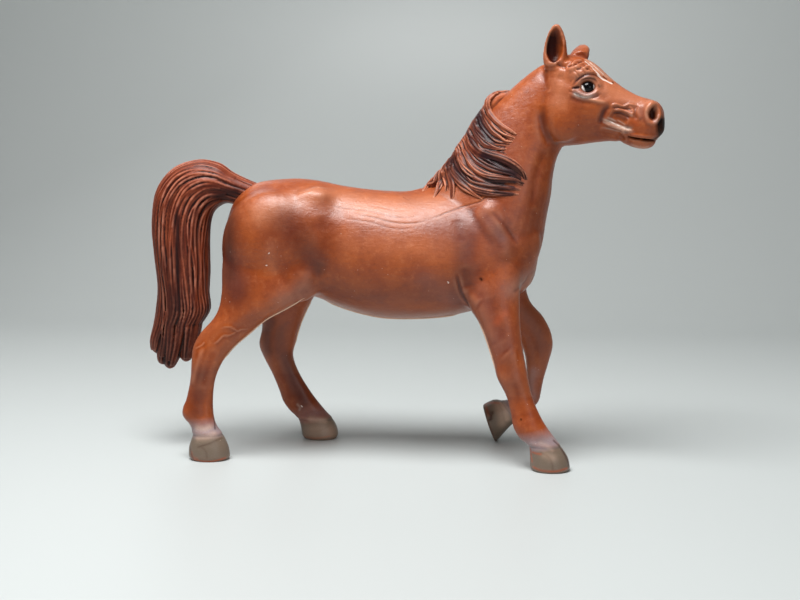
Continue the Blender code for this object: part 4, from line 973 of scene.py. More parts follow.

# Brush work on the face, on both sides of the head: painted shade round the eye and in the
# hollows of the face, painted highlights on its ridges, nostril rims and lips, beside its own pale
# and black paint
FACE_PAINT = [
    ("lilac_paint_and_sheen", [(571, 90.4), (579, 93.8), (588, 95.4), (598, 92)], 0.62, 0.95),
    ("lilac_paint_and_sheen", [(577, 84), (582.5, 79.3), (590, 77.6), (597, 80)], 0.35, 0.20),
    ("shade", [(570, 96), (577, 100), (587, 102)], 0.9, 0.65),
    ("near_black_and_shade", [(572, 88), (577, 87.6), (582, 86.6)], 0.46, 1.0),
    ("shade", [(572.5, 86), (576, 81.4), (581, 77.6), (587, 75.4), (594, 76.6), (598.5, 80)], 0.34, 1.20),
    ("near_black_and_shade", [(577, 83.8), (581.5, 79.8), (587.5, 77.9), (594, 79.0), (598, 83)], 0.24, 0.85),
    ("near_black_and_shade", [(600, 88), (598, 84)], 0.30, 0.55),
    ("near_black_and_shade", [(580, 91.2), (586, 93.4), (592, 92.4)], 0.18, 0.60),
    ("white", [(570.5, 91.8), (576, 94.8), (582, 97), (590, 98.2)], 0.20, 0.70),
    ("pale_smear_and_highlight", [(571, 92.6), (578, 95.6), (586, 97.2), (595, 96.2)], 0.48, 0.55),
    ("white", [(607, 120.6), (614, 123.6), (622, 127.2)], 0.13, 0.65),
    ("painted_highlight", [(586, 98), (596, 100.4), (607, 102.2)], 0.42, 1.0),
    ("shade", [(610, 106), (604, 112), (601, 120), (600, 127)], 0.7, 1.00),
    ("shade", [(614, 113), (622, 116), (630, 121)], 0.8, 0.75),
    ("wear_and_highlight", [(622, 110.5), (628, 112), (633, 116)], 0.30, 0.75),
    ("wear_and_highlight", [(628, 118), (634, 122), (640, 127)], 0.55, 0.50),
    ("pale_smear_and_highlight", [(603, 119.5), (609, 121), (614, 123)], 0.24, 0.80),
    ("pale_smear_and_highlight", [(606, 117), (612, 119.5), (617, 122.5)], 0.20, 0.65),
    ("pale_smear_and_highlight", [(610, 122.4), (618, 125.5), (627, 129), (634, 130.6)], 0.26, 0.95),
    ("pale_smear_and_highlight", [(614, 125.8), (621, 128.4), (629, 130.8)], 0.18, 0.65),
    ("pale_smear_and_highlight", [(600, 126.8), (610, 128.8), (622, 132), (632, 134)], 0.20, 0.40),
    ("pale_smear_and_highlight", [(616, 119.5), (622, 123), (626, 125.6)], 0.18, 0.45),
    ("pale_smear_and_highlight", [(602, 121.5), (607, 123.4), (611, 125)], 0.22, 0.55),
    ("pale_smear_and_highlight", [(621, 126), (627, 127.4), (633, 128.6)], 0.20, 0.70),
    ("pale_smear_and_highlight", [(606, 124.6), (616, 127.6), (624, 130.4), (636, 132.4)], 0.30, 0.55),
    ("painted_highlight", [(650.4, 103), (647, 108), (646.4, 114), (648.6, 120)], 0.40, 1.20),
    ("painted_highlight", [(652, 102.6), (656.5, 103.6), (659.5, 107)], 0.35, 0.60),
    ("purple_shade", [(634, 104), (642, 112), (642, 124)], 1.6, 0.35),
    ("wear_and_highlight", [(628, 134.4), (638, 136.2), (648, 137)], 0.35, 0.85),
    ("painted_highlight", [(630, 144), (640, 147), (650, 147)], 0.9, 0.60),
    ("sole", [(640, 139.6), (648, 140.7), (658, 140.8)], 0.42, 1.0),
    ("lilac_paint_and_sheen", [(652.6, 120.4), (656, 121.4), (659, 120)], 0.40, 1.0),
    ("pale_smear_and_highlight", [(601, 118.6), (608, 121.6), (617, 125.6), (626, 128.6)], 0.42, 0.55),
    ("pale_smear_and_highlight", [(624, 109.6), (629, 113), (633, 117)], 0.26, 0.60),
    ("sole", [(660, 134), (656, 138.5), (651, 140.5)], 0.50, 1.0),
    ("near_black_and_shade", [(626, 136.3), (634, 138.8), (641, 140)], 0.3, 1.0)]
for layer, pixels, width, strength in FACE_PAINT:
    points = horse.line(pixels)
    horse.brush(layer, points, width, strength, 0.3)
    horse.brush(layer, mirrored(points, on_head=True), width, strength, 0.3)
# The blaze is a narrow stripe down the forehead, brushed pink with a white edge on each side
# that runs to a point, and flecks of the coat along its middle
BLAZE_EDGE = [(584, 60.5), (590, 66), (596, 73), (603, 79.4), (610, 83), (617, 86.6)]
BLAZE = [
    ("white", BLAZE_EDGE, 0.20, 1.0),
    ("white", [(596.5, 73.6), (602, 78.2), (607, 81.2), (613, 84.4)], 0.26, 0.90),
    ("white", [(589, 61.6), (597, 68.6), (604, 75)], 0.12, 0.85),
    ("near_black_and_shade", [(602.6, 76), (605, 78), (607.4, 79.6)], 0.24, 0.95),
    ("near_black_and_shade", [(612, 81.4), (613.6, 83.4)], 0.26, 0.95)]


def drawn_in(points):
    """The points of a line on the forehead, drawn in towards its middle at their far end."""
    made = []
    for i, point in enumerate(points):
        home = head_home @ point
        home.y *= 1 - (i / (len(points) - 1)) ** 4
        made.append(head_home.inverted() @ home)
    return made


for layer, pixels, width, strength in BLAZE:
    points = horse.line(pixels)
    if pixels is BLAZE_EDGE:
        points = drawn_in(points)
        edge = [(head_home @ point - jaw_corner) / HEAD_LENGTH for point in points]
        horse.brush(layer, mirrored(points, on_head=True), width, strength, 0.1)
    horse.brush(layer, points, width, strength, 0.1)

# Small knocks and handling marks where the photograph shows them, wear on the hooves, and
# painted highlights and painted shade on the pasterns and hooves
MARKS = [
    ("white", [(269, 253), (268.4, 254)], 0.16, 1.0), ("white", [(266, 265), (266.6, 265.6)], 0.16, 0.9),
    # The first white dab on the next line is a painted highlight on the far hind fetlock
    ("white", [(301.2, 405.8), (302.2, 406.8)], 0.15, 0.8), ("white", [(447.5, 282), (448.5, 282.6)],
        0.20, 0.9),
    ("sole", [(480.6, 278.6), (481.6, 279.8)], 0.30, 1.0), ("sole", [(520.8, 419), (521.2, 420)],
        0.20, 0.9),
    ("near_black_and_shade", [(213.8, 418), (214.6, 423), (215, 428.8)], 0.20, 0.8),
    ("wear_and_highlight", [(486, 403.4), (492, 402.6), (499, 403)], 0.45, 0.85),
    ("wear_and_highlight", [(485.4, 404), (486.6, 409), (489, 415)], 0.40, 0.60),
    # Pale violet and pale strokes on the lifted far fore pastern are painted highlights
    ("lilac_paint_and_sheen", [(501, 401), (504, 410), (505, 420)], 1.8, 0.95),
    ("pale_flash_and_highlight", [(502, 404), (505, 411), (507, 419)], 1.2, 0.62),
    ("pale_flash_and_highlight", [(499, 405), (502, 414), (503, 423)], 1.5, 0.44),
    ("edge", [(483, 402), (484, 412), (488, 424), (492, 434)], 0.40, 0.90),
    ("wear_and_highlight", [(530.4, 449), (531, 455), (532, 461)], 0.40, 0.85),
    ("wear_and_highlight", [(533, 467), (540, 470.4), (548, 471.6)], 0.28, 0.80),
    ("wear_and_highlight", [(548, 471.8), (558, 471.2), (567, 468.4)], 0.28, 0.95),
    ("wear_and_highlight", [(532, 452), (537, 453.6), (541, 454)], 0.26, 0.75),
    ("wear_and_highlight", [(191.5, 453), (192.5, 457.4), (197, 460)], 0.45, 0.65),
    ("wear_and_highlight", [(193, 459.4), (202, 461.6), (213, 461.6), (226, 458)], 0.24, 1.00),
    ("edge", [(190, 447), (191, 453), (192.6, 458)], 0.30, 0.80),
    ("wear_and_highlight", [(304, 436.6), (316, 438.4), (330, 436)], 0.22, 0.55),
    ("edge", [(562, 450), (566.6, 458), (569.4, 467)], 0.50, 1.00),
    ("edge", [(554, 441), (559, 446), (563, 451)], 0.34, 0.80),
    ("edge", [(541, 452.6), (548, 456.5), (552, 463), (553, 470)], 0.30, 0.35),
    ("edge", [(198, 447), (206, 444.6), (214, 441.4), (222, 437.6)], 0.26, 0.45),
    ("edge", [(202, 447), (206, 452), (207, 458)], 0.30, 0.30),
    # Pale strokes on the coronets, pasterns and hooves, here and below, are painted highlights
    ("pale_flash_and_highlight", [(541, 443), (547, 446), (552, 450)], 0.70, 0.16),
    ("pale_flash_and_highlight", [(545, 455), (553, 458)], 1.00, 0.20),
    ("pale_flash_and_highlight", [(198, 438), (207, 437), (214, 434)], 0.90, 0.30),
    ("pale_flash_and_highlight", [(306, 432), (318, 429), (331, 431)], 2.4, 0.34),
    # Painted shade on the near fore pastern
    ("edge", [(541, 441), (546, 446), (552, 449)], 1.3, 0.30),
    # Painted highlight beside the white dab on the far hind fetlock
    ("pale_smear_and_highlight", [(297.6, 404.6), (300, 407.4), (299.4, 410)], 0.34, 0.36),
    ("pale_flash_and_highlight", [(311, 419.6), (318, 420.6), (325, 421.4)], 1.00, 0.46),
    ("edge", [(306, 431), (314, 431.6), (322, 430), (328, 426)], 0.26, 0.30),
    ("pale_flash_and_highlight", [(197, 428), (204, 429), (210, 427)], 0.80, 0.34)]
for layer, pixels, width, strength in MARKS:
    horse.brush(layer, horse.line(pixels), width, strength)

# What is sprayed on whole parts of the head is placed along the head, across it and up it: the
# tip of the nose is black below the nostrils, right across the muzzle
NOSE_FROM, NOSE_LOW, NOSE_HIGH = 0.922, 0.055, 0.250
turned_home = np.array(head_home.to_3x3())
home = horse.places @ turned_home.T + np.array(head_home.translation)
home_facing = horse.facing @ turned_home.T
snout = (home - np.array(jaw_corner)) / HEAD_LENGTH
nose = np.clip((snout[:, 0] - NOSE_FROM) / 0.025, 0, 1) * np.clip((snout[:, 2] - NOSE_LOW) / 0.03, 0, 1)
nose *= np.clip((NOSE_HIGH - snout[:, 2]) / 0.04, 0, 1) * (abs(snout[:, 1]) < 0.3)
horse.paint["sole"] = np.maximum(horse.paint["sole"], nose)
# Between its edges the blaze is brushed thinly with pale paint, partly a painted highlight on the
# forehead
reach = np.interp(snout[:, 0], [p.x for p in edge], [abs(p.y) for p in edge], left=0, right=0)
stripe = np.clip((reach - abs(snout[:, 1])) / 0.02, 0, 1) * (snout[:, 2] > 0.5) * (home_facing[:, 2] > 0.1)
horse.paint["pale_flash_and_highlight"] = np.maximum(horse.paint["pale_flash_and_highlight"], 0.24 * stripe)
# The hollow of each ear is sprayed near-black, partly as painted shade in the hollow, fading to
# its rim and to its inner edge
near_black_and_shade = horse.paint["near_black_and_shade"]
for root, way, face in EARS.values():
    up = Vector(way).normalized()
    open_way = Vector(face)
    open_way = (open_way - up * open_way.dot(up)).normalized()
    aside = up.cross(open_way)
    away = (home - np.array(head_point(*root))) / EAR_LENGTH
    height = away @ np.array(up)
    beside = away @ np.array(aside) + HOLLOW_ASIDE
    reach = np.interp(height, [row[0] for row in HOLLOW_SECTIONS], [row[1] for row in HOLLOW_SECTIONS])
    inside = (height > 0) & (height < 0.95) & (abs(away @ np.array(open_way)) < 0.4)
    inside &= home_facing @ np.array(open_way) > 0.1
    amount = np.clip((reach + 0.01 - abs(beside)) / 0.05, 0, 1) * np.clip((0.95 - height) / 0.35, 0, 1)
    amount *= 1 - 0.55 * np.clip(beside / 0.14, 0, 1)
    near_black_and_shade[inside] = np.maximum(near_black_and_shade[inside], 1.1 * amount[inside])

# The hooves that stand are rounded towards the sole
SOLE_ROUNDING = 1.3 * MM
SOLE_INSET = 0.55 * MM
for name, (side, place, rows) in LEGS.items():
    if name == "left_foreleg":
        continue
    x = place * BODY_LENGTH + RECENTRED.x
    centre = np.array((
        x + (rows[-1][0] + rows[-1][2]) / 2 * BELLY_HEIGHT, side * rows[-1][4] * STANCE_HALF_WIDTH, 0))
    out = (horse.places - centre) * (1, 1, 0)
    reach = np.linalg.norm(out, axis=1)
    low = (horse.places[:, 2] < SOLE_ROUNDING) & (reach < 8 * MM)
    share = np.clip(1 - horse.places[low, 2] / SOLE_ROUNDING, 0, 1)
    inset = SOLE_INSET * share * share * reach[low] / (5 * MM)
    horse.places[low] -= out[low] / np.maximum(reach[low, None], 1e-9) * inset[:, None]
horse.write()


def recess_of(target, iterations):
    """How far each point lies below its smoothed surroundings, in millimetres."""
    count = len(target.data.vertices)
    sharp = np.empty(count * 3)
    target.data.vertices.foreach_get("co", sharp)
    facing = np.empty(count * 3)
    target.data.vertices.foreach_get("normal", facing)
    twin = target.copy()
    twin.data = target.data.copy()
    scene.collection.objects.link(twin)
    settle(twin, iterations)
    smooth = np.empty(count * 3)
    twin.data.vertices.foreach_get("co", smooth)
    bpy.data.objects.remove(twin)
    return ((smooth - sharp).reshape(-1, 3) * facing.reshape(-1, 3)).sum(1) / MM


def store(target, name, values):
    """Keep one number a point on the mesh, for a material to read."""
    layer = target.data.attributes.new(name, "FLOAT", "POINT")
    layer.data.foreach_set("value", np.asarray(values, dtype=np.float32))


settle(skin, 1)
PAINT_LAYERS = (
    "shade", "belly", "purple_shade", "painted_highlight", "lilac_paint_and_sheen", "near_black_and_shade", "white", "pale_smear_and_highlight", "sole", "pale_flash_and_highlight", "hoof",
    "sock", "wear_and_highlight", "edge")
for layer in PAINT_LAYERS:
    store(skin, layer, horse.paint.get(layer, np.zeros(len(skin.data.vertices))))
store(skin, "recess", np.clip(recess_of(skin, 10) / 0.05, -1, 1))

# Soles are cut flat where the hooves stand on the table
level = skin.data.vertices
heights = np.empty(len(level) * 3)
level.foreach_get("co", heights)
heights = heights.reshape(-1, 3)
heights[:, 2] = np.maximum(heights[:, 2], 0)
level.foreach_set("co", heights.ravel())
skin.data.update()


# Painted PVC: satin chestnut lacquer sprayed over an orange-brown moulding, with airbrushed
# painted shade in red-brown and painted highlight, darkened in the creases by dark wash and
# painted shade, slightly orange-peeled.
def mark_of(tree, name):
    """The number that the mesh keeps under this name, point by point."""
    return add_node(tree, "ShaderNodeAttribute", {"attribute_name": name}).outputs["Fac"]


def laid_over(tree, colour, share, code):
    """A hex colour laid over another colour by a share."""
    mix = add_node(tree, "ShaderNodeMix", {"data_type": "RGBA"}, Factor=share)
    tree.links.new(colour, mix.inputs[6])
    mix.inputs[7].default_value = linear(code)
    return mix.outputs[2]


def noise_of(tree, where, across, detail, roughness):
    """Noise whose features are so far across."""
    return add_node(
        tree, "ShaderNodeTexNoise", Vector=where, Scale=1 / across, Detail=detail,
        Roughness=roughness).outputs["Fac"]


def ranged(tree, value, low, high, least, most):
    """A value carried from one range over to another."""
    return add_node(
        tree, "ShaderNodeMapRange", Value=value, From_Min=low, From_Max=high, To_Min=least,
        To_Max=most).outputs[0]


def two_tone(tree, value, low, low_code, high, high_code):
    """One colour at a low value and another at a high one, blended between them."""
    ramp = add_node(tree, "ShaderNodeValToRGB", Fac=value)
    for stop, place, code in zip(ramp.color_ramp.elements, (low, high), (low_code, high_code)):
        stop.position = place
        stop.color = linear(code)
    return ramp.outputs["Color"]


def layered(tree, colour, layers, surface_noise, edge_noise):
    """Lay paint over a colour, layer by layer: (layer name, hex colour, strength, crisp)."""
    for name, code, strength, crisp in layers:
        mask = mark_of(tree, name)
        noise, gain, start = (edge_noise, 2.2, -0.1) if crisp else (surface_noise, 0.5, 0.75)
        broken = add_node(
            tree, "ShaderNodeMath", {"operation": "MULTIPLY_ADD"}, _0=noise, _1=gain, _2=start)
        amount = add_node(
            tree, "ShaderNodeMath", {"operation": "MULTIPLY"}, _0=mask, _1=broken.outputs[0])
        low, high = (0.28, 0.52) if crisp else (0.0, 1.0)
        share = ranged(tree, amount.outputs[0], low, high, 0.0, strength)
        colour = laid_over(tree, colour, share, code)
    return colour


coat_paint, tree, shader = new_material("sprayed_satin_lacquer_on_pvc")
where = add_node(tree, "ShaderNodeTexCoord").outputs["Object"]
# Cloudiness of the spray, 6 mm across; blotches, 1.6 mm; speckle of the overspray, 0.4 mm
clouds = noise_of(tree, where, 6 * MM, 4.0, 0.6)
blotch = noise_of(tree, where, 1.6 * MM, 6.0, 0.7)
speckle = noise_of(tree, where, 0.4 * MM, 2.0, 0.5)
colour = two_tone(tree, clouds, 0.35, "#84360F", 0.65, "#9C4817")
for low, high, most, code in ((0.54, 0.76, 0.55, "#B8683A"), (0.46, 0.24, 0.55, "#5E220C")):
    colour = laid_over(tree, colour, ranged(tree, blotch, low, high, 0.0, most), code)
recess = mark_of(tree, "recess")
fray = noise_of(tree, where, 0.7 * MM, 4.0, 0.6)
colour = layered(tree, colour, [
    # painted highlight in pale pink
    ("painted_highlight", "#C98767", 0.8, False),
    ("belly", "#93685A", 0.9, False),
    ("shade", "#551E0E", 0.9, False),
    # painted shade in mauve
    ("purple_shade", "#7A4A42", 0.9, False),
    # pale violet-grey paint, and painted sheen on ridges, knees and hooves
    ("lilac_paint_and_sheen", "#A08280", 0.9, False),
    # pale streaks on the face, and a painted highlight on a hind fetlock
    ("pale_smear_and_highlight", "#C0AFA0", 0.85, False),
    ("sock", "#908488", 1.0, False),
    ("hoof", "#706254", 1.0, False),
    # wear on the hooves, and painted orange highlights on the face and forearm
    ("wear_and_highlight", "#A94A22", 0.85, False),
    ("edge", "#3A1A10", 0.9, False),
    # pale fin of the mould and blaze, and painted highlights on coronets, pasterns and hooves
    ("pale_flash_and_highlight", "#DDB9A0", 1.0, False),
    # near-black paint, and painted shade in the pits, the ear hollows and along the rear of the haunch
    ("near_black_and_shade", "#1E0807", 1.0, False),
    ("white", "#E6D6CC", 0.85, True),
    ("sole", "#0C0404", 1.0, False)], speckle, fray)
# Creases are darkened as dark wash and painted shade, and what stands out is lightened as a
# painted highlight
sunk_shade = add_node(tree, "ShaderNodeMath", {"operation": "MULTIPLY", "use_clamp": True}, _0=recess, _1=0.62)
proud_highlight = add_node(tree, "ShaderNodeMath", {"operation": "MULTIPLY", "use_clamp": True}, _0=recess, _1=-0.35)
# Grains of dust, one in some of the cells 2.4 mm across
grains = add_node(tree, "ShaderNodeTexVoronoi", Vector=where, Scale=1 / (2.4 * MM))
dust = ranged(tree, grains.outputs["Distance"], 0.045, 0.025, 0.0, 0.55)
for share, code in ((sunk_shade.outputs[0], "#38120A"), (proud_highlight.outputs[0], "#C98A6A"), (dust, "#E2C4B4")):
    colour = laid_over(tree, colour, share, code)
tree.links.new(colour, shader.inputs["Base Color"])
tree.links.new(ranged(tree, blotch, 0.3, 0.7, 0.28, 0.46), shader.inputs["Roughness"])
peel = noise_of(tree, where, 0.9 * MM, 5.0, 0.65)
stretched = add_node(
    tree, "ShaderNodeMapping", Vector=where, Scale=(0.28, 1.0, 1.0), Rotation=(0.0, radians(-6), 0.0))
wrinkles = add_node(
    tree, "ShaderNodeTexNoise", Vector=stretched.outputs["Vector"], Scale=1 / (1.3 * MM), Detail=3.0,
    Roughness=0.55, Distortion=0.9)
relief = add_node(
    tree, "ShaderNodeMath", {"operation": "MULTIPLY_ADD"},
    _0=wrinkles.outputs["Fac"], _1=0.9, _2=peel)
bump = add_node(tree, "ShaderNodeBump", Strength=0.55, Distance=0.13 * MM, Height=relief.outputs[0])
tree.links.new(bump.outputs["Normal"], shader.inputs["Normal"])
# Where it is sprayed near-black it is left matt
either = add_node(
    tree, "ShaderNodeMath", {"operation": "MAXIMUM"}, _0=mark_of(tree, "near_black_and_shade"), _1=mark_of(tree, "sole"))
gloss = ranged(tree, either.outputs[0], 0.0, 1.0, 0.40, 0.06)
tree.links.new(gloss, shader.inputs["Specular IOR Level"])
skin.data.materials.clear()
skin.data.materials.append(coat_paint)


# Parting the skin: torso, head with neck, and the four legs are separate mouldings, glued at
# seams that the paint covers. Each is closed behind its seam.
SEAMS = {
    "right_foreleg": (0.29, -0.235, 0.20, -0.020, 1.25, 0.170),
    "left_foreleg": (0.46, -0.235, 0.20, -0.020, 1.25, 0.170),
    "right_hind_leg": (0.31, -0.50, 0.20, 0.120, 1.25, 0.208),
    "left_hind_leg": (0.22, -0.46, 0.20, 0.120, 1.25, 0.208)}
SEAM_REACH = 20 * MM
SEAM_FOLD = 0.8 * MM
NECK_SEAM = ((-0.440, -0.004), (1.400, 0.155))


def inside_block(points, corners):
    """Which points lie inside the convex block round some corners."""
    mesh = bmesh.new()
    for corner in corners:
        mesh.verts.new(corner)
    made = bmesh.ops.convex_hull(mesh, input=mesh.verts)
    middle = sum((Vector(c) for c in corners), Vector()) / len(corners)
    inside = np.ones(len(points), bool)
    for face in mesh.faces:
        face.normal_update()
        spot, normal = face.verts[0].co.copy(), face.normal.copy()
        if (middle - spot).dot(normal) > 0:
            normal = -normal
        inside &= (points - np.array(spot)) @ np.array(normal) < 0
    mesh.free()
    return inside


part_of = np.zeros(len(skin.data.polygons), int)
centres = np.empty(len(skin.data.polygons) * 3)
skin.data.polygons.foreach_get("center", centres)
centres = centres.reshape(-1, 3) - np.array(RECENTRED)
names = ["torso"]
for name, (side, place, rows) in LEGS.items():
    front, back, inner, inner_height, outer, outer_height = SEAMS[name]
    corners = []
    for share in (front, back):
        x = place * BODY_LENGTH + share * BELLY_HEIGHT
        reach = x + copysign(SEAM_REACH, share)
        corners += [
            (x, side * inner * STANCE_HALF_WIDTH, BELLY_HEIGHT + inner_height * BARREL_DEPTH),
            (x, side * outer * STANCE_HALF_WIDTH, BELLY_HEIGHT + outer_height * BARREL_DEPTH),
            (reach, side * 0.08 * STANCE_HALF_WIDTH, -SEAM_REACH),
            (reach, side * 2 * STANCE_HALF_WIDTH, -SEAM_REACH)]
    names.append(name)
    part_of[inside_block(centres, corners)] = len(names) - 1
rear, front = (neck_point(*place) for place in NECK_SEAM)
rise = Vector((0, 0, NECK_LENGTH + HEAD_LENGTH))
names.append("head_and_neck")
part_of[inside_block(centres, [
    corner + Vector((0, side * 2 * BARREL_HALF_WIDTH, 0))
    for corner in (rear, front, rear + rise, front + rise) for side in (1, -1)])] = len(names) - 1

skin_normals = np.empty(len(skin.data.vertices) * 3)
skin.data.vertices.foreach_get("normal", skin_normals)
skin_normals = skin_normals.reshape(-1, 3)
for index, name in enumerate(names):
    part = bmesh.new()
    part.from_mesh(skin.data)
    source = part.verts.layers.int.new("source")
    for vert in part.verts:
        vert[source] = vert.index + 1
    part.faces.ensure_lookup_table()
    others = [face for face, owner in zip(part.faces, part_of) if owner != index]
    bmesh.ops.delete(part, geom=others, context="FACES")
    # Loose flakes beside the main body go, then the open seam is closed
    unseen = set(part.faces)
    bodies = []
    while unseen:
        body = set()
        reached = [unseen.pop()]
        while reached:
            face = reached.pop()
            body.add(face)
            for edge in face.edges:
                for other in edge.link_faces:
                    if other in unseen:
                        unseen.remove(other)
                        reached.append(other)
        bodies.append(body)
    bodies.sort(key=len)
    for flake in bodies[:-1]:
        bmesh.ops.delete(part, geom=list(flake), context="FACES")
    open_edges = [edge for edge in part.edges if len(edge.link_faces) == 1]
    folded = bmesh.ops.extrude_edge_only(part, edges=open_edges)["geom"]
    for vert in folded:
        if isinstance(vert, bmesh.types.BMVert):
            vert.co -= Vector(skin_normals[vert[source] - 1]) * SEAM_FOLD
    inner_edges = [edge for edge in part.edges if len(edge.link_faces) == 1]
    caps = bmesh.ops.holes_fill(part, edges=inner_edges, sides=0)["faces"]
    bmesh.ops.triangulate(part, faces=caps)
    if name in flash_paths:
        path = flash_paths[name]
        rings = []
        last = len(path) - 1
        for i, (spot, out) in enumerate(path):
            ahead = (path[min(i + 1, last)][0] - path[max(i - 1, 0)][0]).normalized()
            across = ahead.cross(Vector((0, 0, 1))).normalized()
            up = across.cross(ahead)
            thin = min(1, 0.1 + min(i, last - i) / 9)
            spot = spot + out * (FLASH_RISE - (1 - thin) * FLASH_SINK)
            rings.append([
                spot + (across * cos(a) * 0.7 + up * sin(a)) * FLASH_RADIUS * thin
                for a in (2 * pi * k / 8 for k in range(8))])
        fin = bmesh.new()
        skin_rings(fin, rings)
        bmesh.ops.recalc_face_normals(fin, faces=fin.faces)
        fin_data = bpy.data.meshes.new("fin")
        fin.to_mesh(fin_data)
        fin.free()
        part.from_mesh(fin_data)
        bpy.data.meshes.remove(fin_data)
    # The fin's points have no source in the skin: they are pale and face their own way
    part.normal_update()
    pale = part.verts.layers.float["pale_flash_and_highlight"]
    source = part.verts.layers.int["source"]
    normals = []
    for vert in part.verts:
        if vert[source]:
            normals.append(Vector(skin_normals[vert[source] - 1]))
        else:
            vert[pale] = 1.0
            normals.append(vert.normal.copy())
    data = bpy.data.meshes.new(name + "_moulding")
    part.to_mesh(data)
    part.free()
    data.attributes.remove(data.attributes["source"])
    data.shade_smooth()
    data.normals_split_custom_set_from_vertices(normals)
    moulding = bpy.data.objects.new(name + "_moulding", data)
    scene.collection.objects.link(moulding)
    moulding.data.materials.clear()
    moulding.data.materials.append(coat_paint)
    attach(moulding, "root")
    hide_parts(name)


# Eyes: glossy black beads of enamel in the moulded sockets, with a white corner before and
# behind the iris, wet-looking under the lacquer.
EYE_RADII = (1.66, 1.42, 1.46)
EYE_SINK = 1.05
WHITE_FROM = 0.76
eye_paint, tree, shader = new_material("gloss_black_enamel")
mix = add_node(tree, "ShaderNodeMix", {"data_type": "RGBA"}, Factor=mark_of(tree, "corner"))
mix.inputs[6].default_value = linear("#050304")
mix.inputs[7].default_value = linear("#E9E1DC")
tree.links.new(mix.outputs[2], shader.inputs["Base Color"])
shader.inputs["Roughness"].default_value = 0.08
shader.inputs["Specular IOR Level"].default_value = 0.22
for name, (spot, out) in zip(("right_eye", "left_eye"), EYES):
    along = (Vector((1, 0, 0)) - out * out.x).normalized()
    up = out.cross(along)
    up = up if up.z > 0 else -up
    mesh = bmesh.new()
    bmesh.ops.create_uvsphere(mesh, u_segments=48, v_segments=32, radius=1)
    turn = Matrix((along, out, up)).transposed().to_4x4()
    corner = []
    for vert in mesh.verts:
        behind = (-vert.co.x - 0.45 * vert.co.z - WHITE_FROM + 0.10) / 0.06
        before = (vert.co.x - WHITE_FROM) / 0.06
        corner.append(min(max(behind, before, 0), 1))
    centre = spot - out * EYE_SINK * MM
    mesh.transform(
        Matrix.Translation(centre) @ turn @ Matrix.Diagonal((*(Vector(EYE_RADII) * MM), 1)))
    bead = add_object(name, mesh)
    bead.data.shade_smooth()
    store(bead, "corner", corner)
    bead.data.materials.append(eye_paint)
    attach(bead, "root")


# Mane: a separate moulding of wavy locks, combed down over the near side of the neck from a
# roll along the crest, glued on by two pins. Its grooves are darkened with dark brown paint and
# painted shade, and its ridges lightened as a painted highlight.
MANE_THICKNESS = 1.5 * MM
MANE_GRAIN = 0.133 * MM
# The crest's outline from the poll to the withers as pixels, and the roll's girth there
CREST_ROLL = [
    (509.0, 87.6, 0.35), (504.0, 91.6, 0.70), (494.6, 94.6, 1.05), (488.2, 99.4, 1.20),
    (484.4, 104.8, 1.15), (480.2, 110.9, 1.05), (474.8, 118.1, 1.00), (469.2, 128.3, 1.00),
    (464.0, 137.0, 1.00), (458.4, 145.1, 1.00), (452.9, 152.9, 0.95), (446.4, 161.8, 0.85),
    (439.0, 170.6, 0.80), (431.4, 180.0, 0.75), (424.4, 188.0, 0.50)]
# Lines of pixels from the crest to the tip; strands in the lock; how broad the lock is and how
# high its crown stands, in millimetres
LOCKS = [
    ([(484.8, 107.2), (486.7, 114.8), (493.1, 123.8), (500.8, 131.4), (509.7, 136.5), (515.8, 139.7)],
        5, 1.5, 0.55),
    ([(481.0, 111.0), (482.9, 118.7), (489.3, 128.9), (496.9, 135.3), (505.9, 141.6), (514.5, 142.9)],
        5, 1.6, 0.40),
    ([(477.2, 114.8), (479.1, 123.8), (485.5, 134.0), (491.8, 141.6), (500.8, 144.8), (512.0, 144.8)],
        6, 1.8, 0.30),
    ([(473.3, 120.6), (475.3, 127.6), (481.6, 137.8), (488.0, 145.5), (496.9, 149.3), (508.4, 149.3)],
        6, 1.9, 0.55),
    ([(469.5, 126.3), (473.3, 135.3), (477.8, 142.9), (482.9, 149.3), (494.4, 153.8), (509.4, 154.5)],
        6, 1.8, 0.65),
    ([(464.4, 136.5), (468.9, 148.0), (476.5, 158.2), (486.7, 164.6), (499.5, 170.3), (512.2, 173.5),
      (523.4, 180.6)], 8, 2.7, 0.40),
    ([(467.6, 131.4), (471.4, 141.6), (477.8, 149.3), (489.3, 155.0), (504.6, 160.1), (516.1, 166.5),
      (523.1, 173.5), (526.3, 181.5)], 6, 2.0, 1.05),
    ([(459.9, 144.2), (463.8, 154.4), (470.2, 165.9), (479.1, 173.5), (489.3, 178.0), (502.0, 179.9),
      (514.8, 180.6), (525.6, 185.4)], 7, 2.2, 0.95),
    ([(456.8, 149.1), (460.5, 160.3), (466.1, 169.5), (474.0, 176.2), (482.7, 180.6)], 4, 1.4, 1.10),
    ([(454.8, 153.1), (458.0, 163.3), (465.1, 173.5), (474.0, 181.2), (486.7, 185.6), (502.0, 187.3),
      (525.0, 190.0)], 7, 2.2, 0.70),
    ([(452.3, 160.8), (454.8, 169.7), (462.5, 178.6), (472.7, 187.6), (486.7, 192.7), (502.0, 193.9),
      (523.1, 195.0)], 6, 1.9, 0.60),
    ([(451.0, 163.1), (453.8, 173.1), (461.8, 183.4), (471.7, 191.4), (483.5, 200.2)], 6, 1.9, 0.70),
    ([(447.2, 166.4), (450.4, 176.3), (452.9, 186.3), (451.5, 200.1)], 5, 1.5, 0.65),
    ([(444.0, 170.4), (444.5, 178.3), (446.6, 186.3), (445.5, 192.1)], 3, 1.1, 0.45),
    ([(441.8, 172.5), (441.8, 181.2), (438.3, 190.1), (432.9, 198.5)], 5, 1.5, 0.55),
    ([(434.4, 178.6), (430.6, 183.7), (422.0, 192.0)], 4, 1.1, 0.40)]
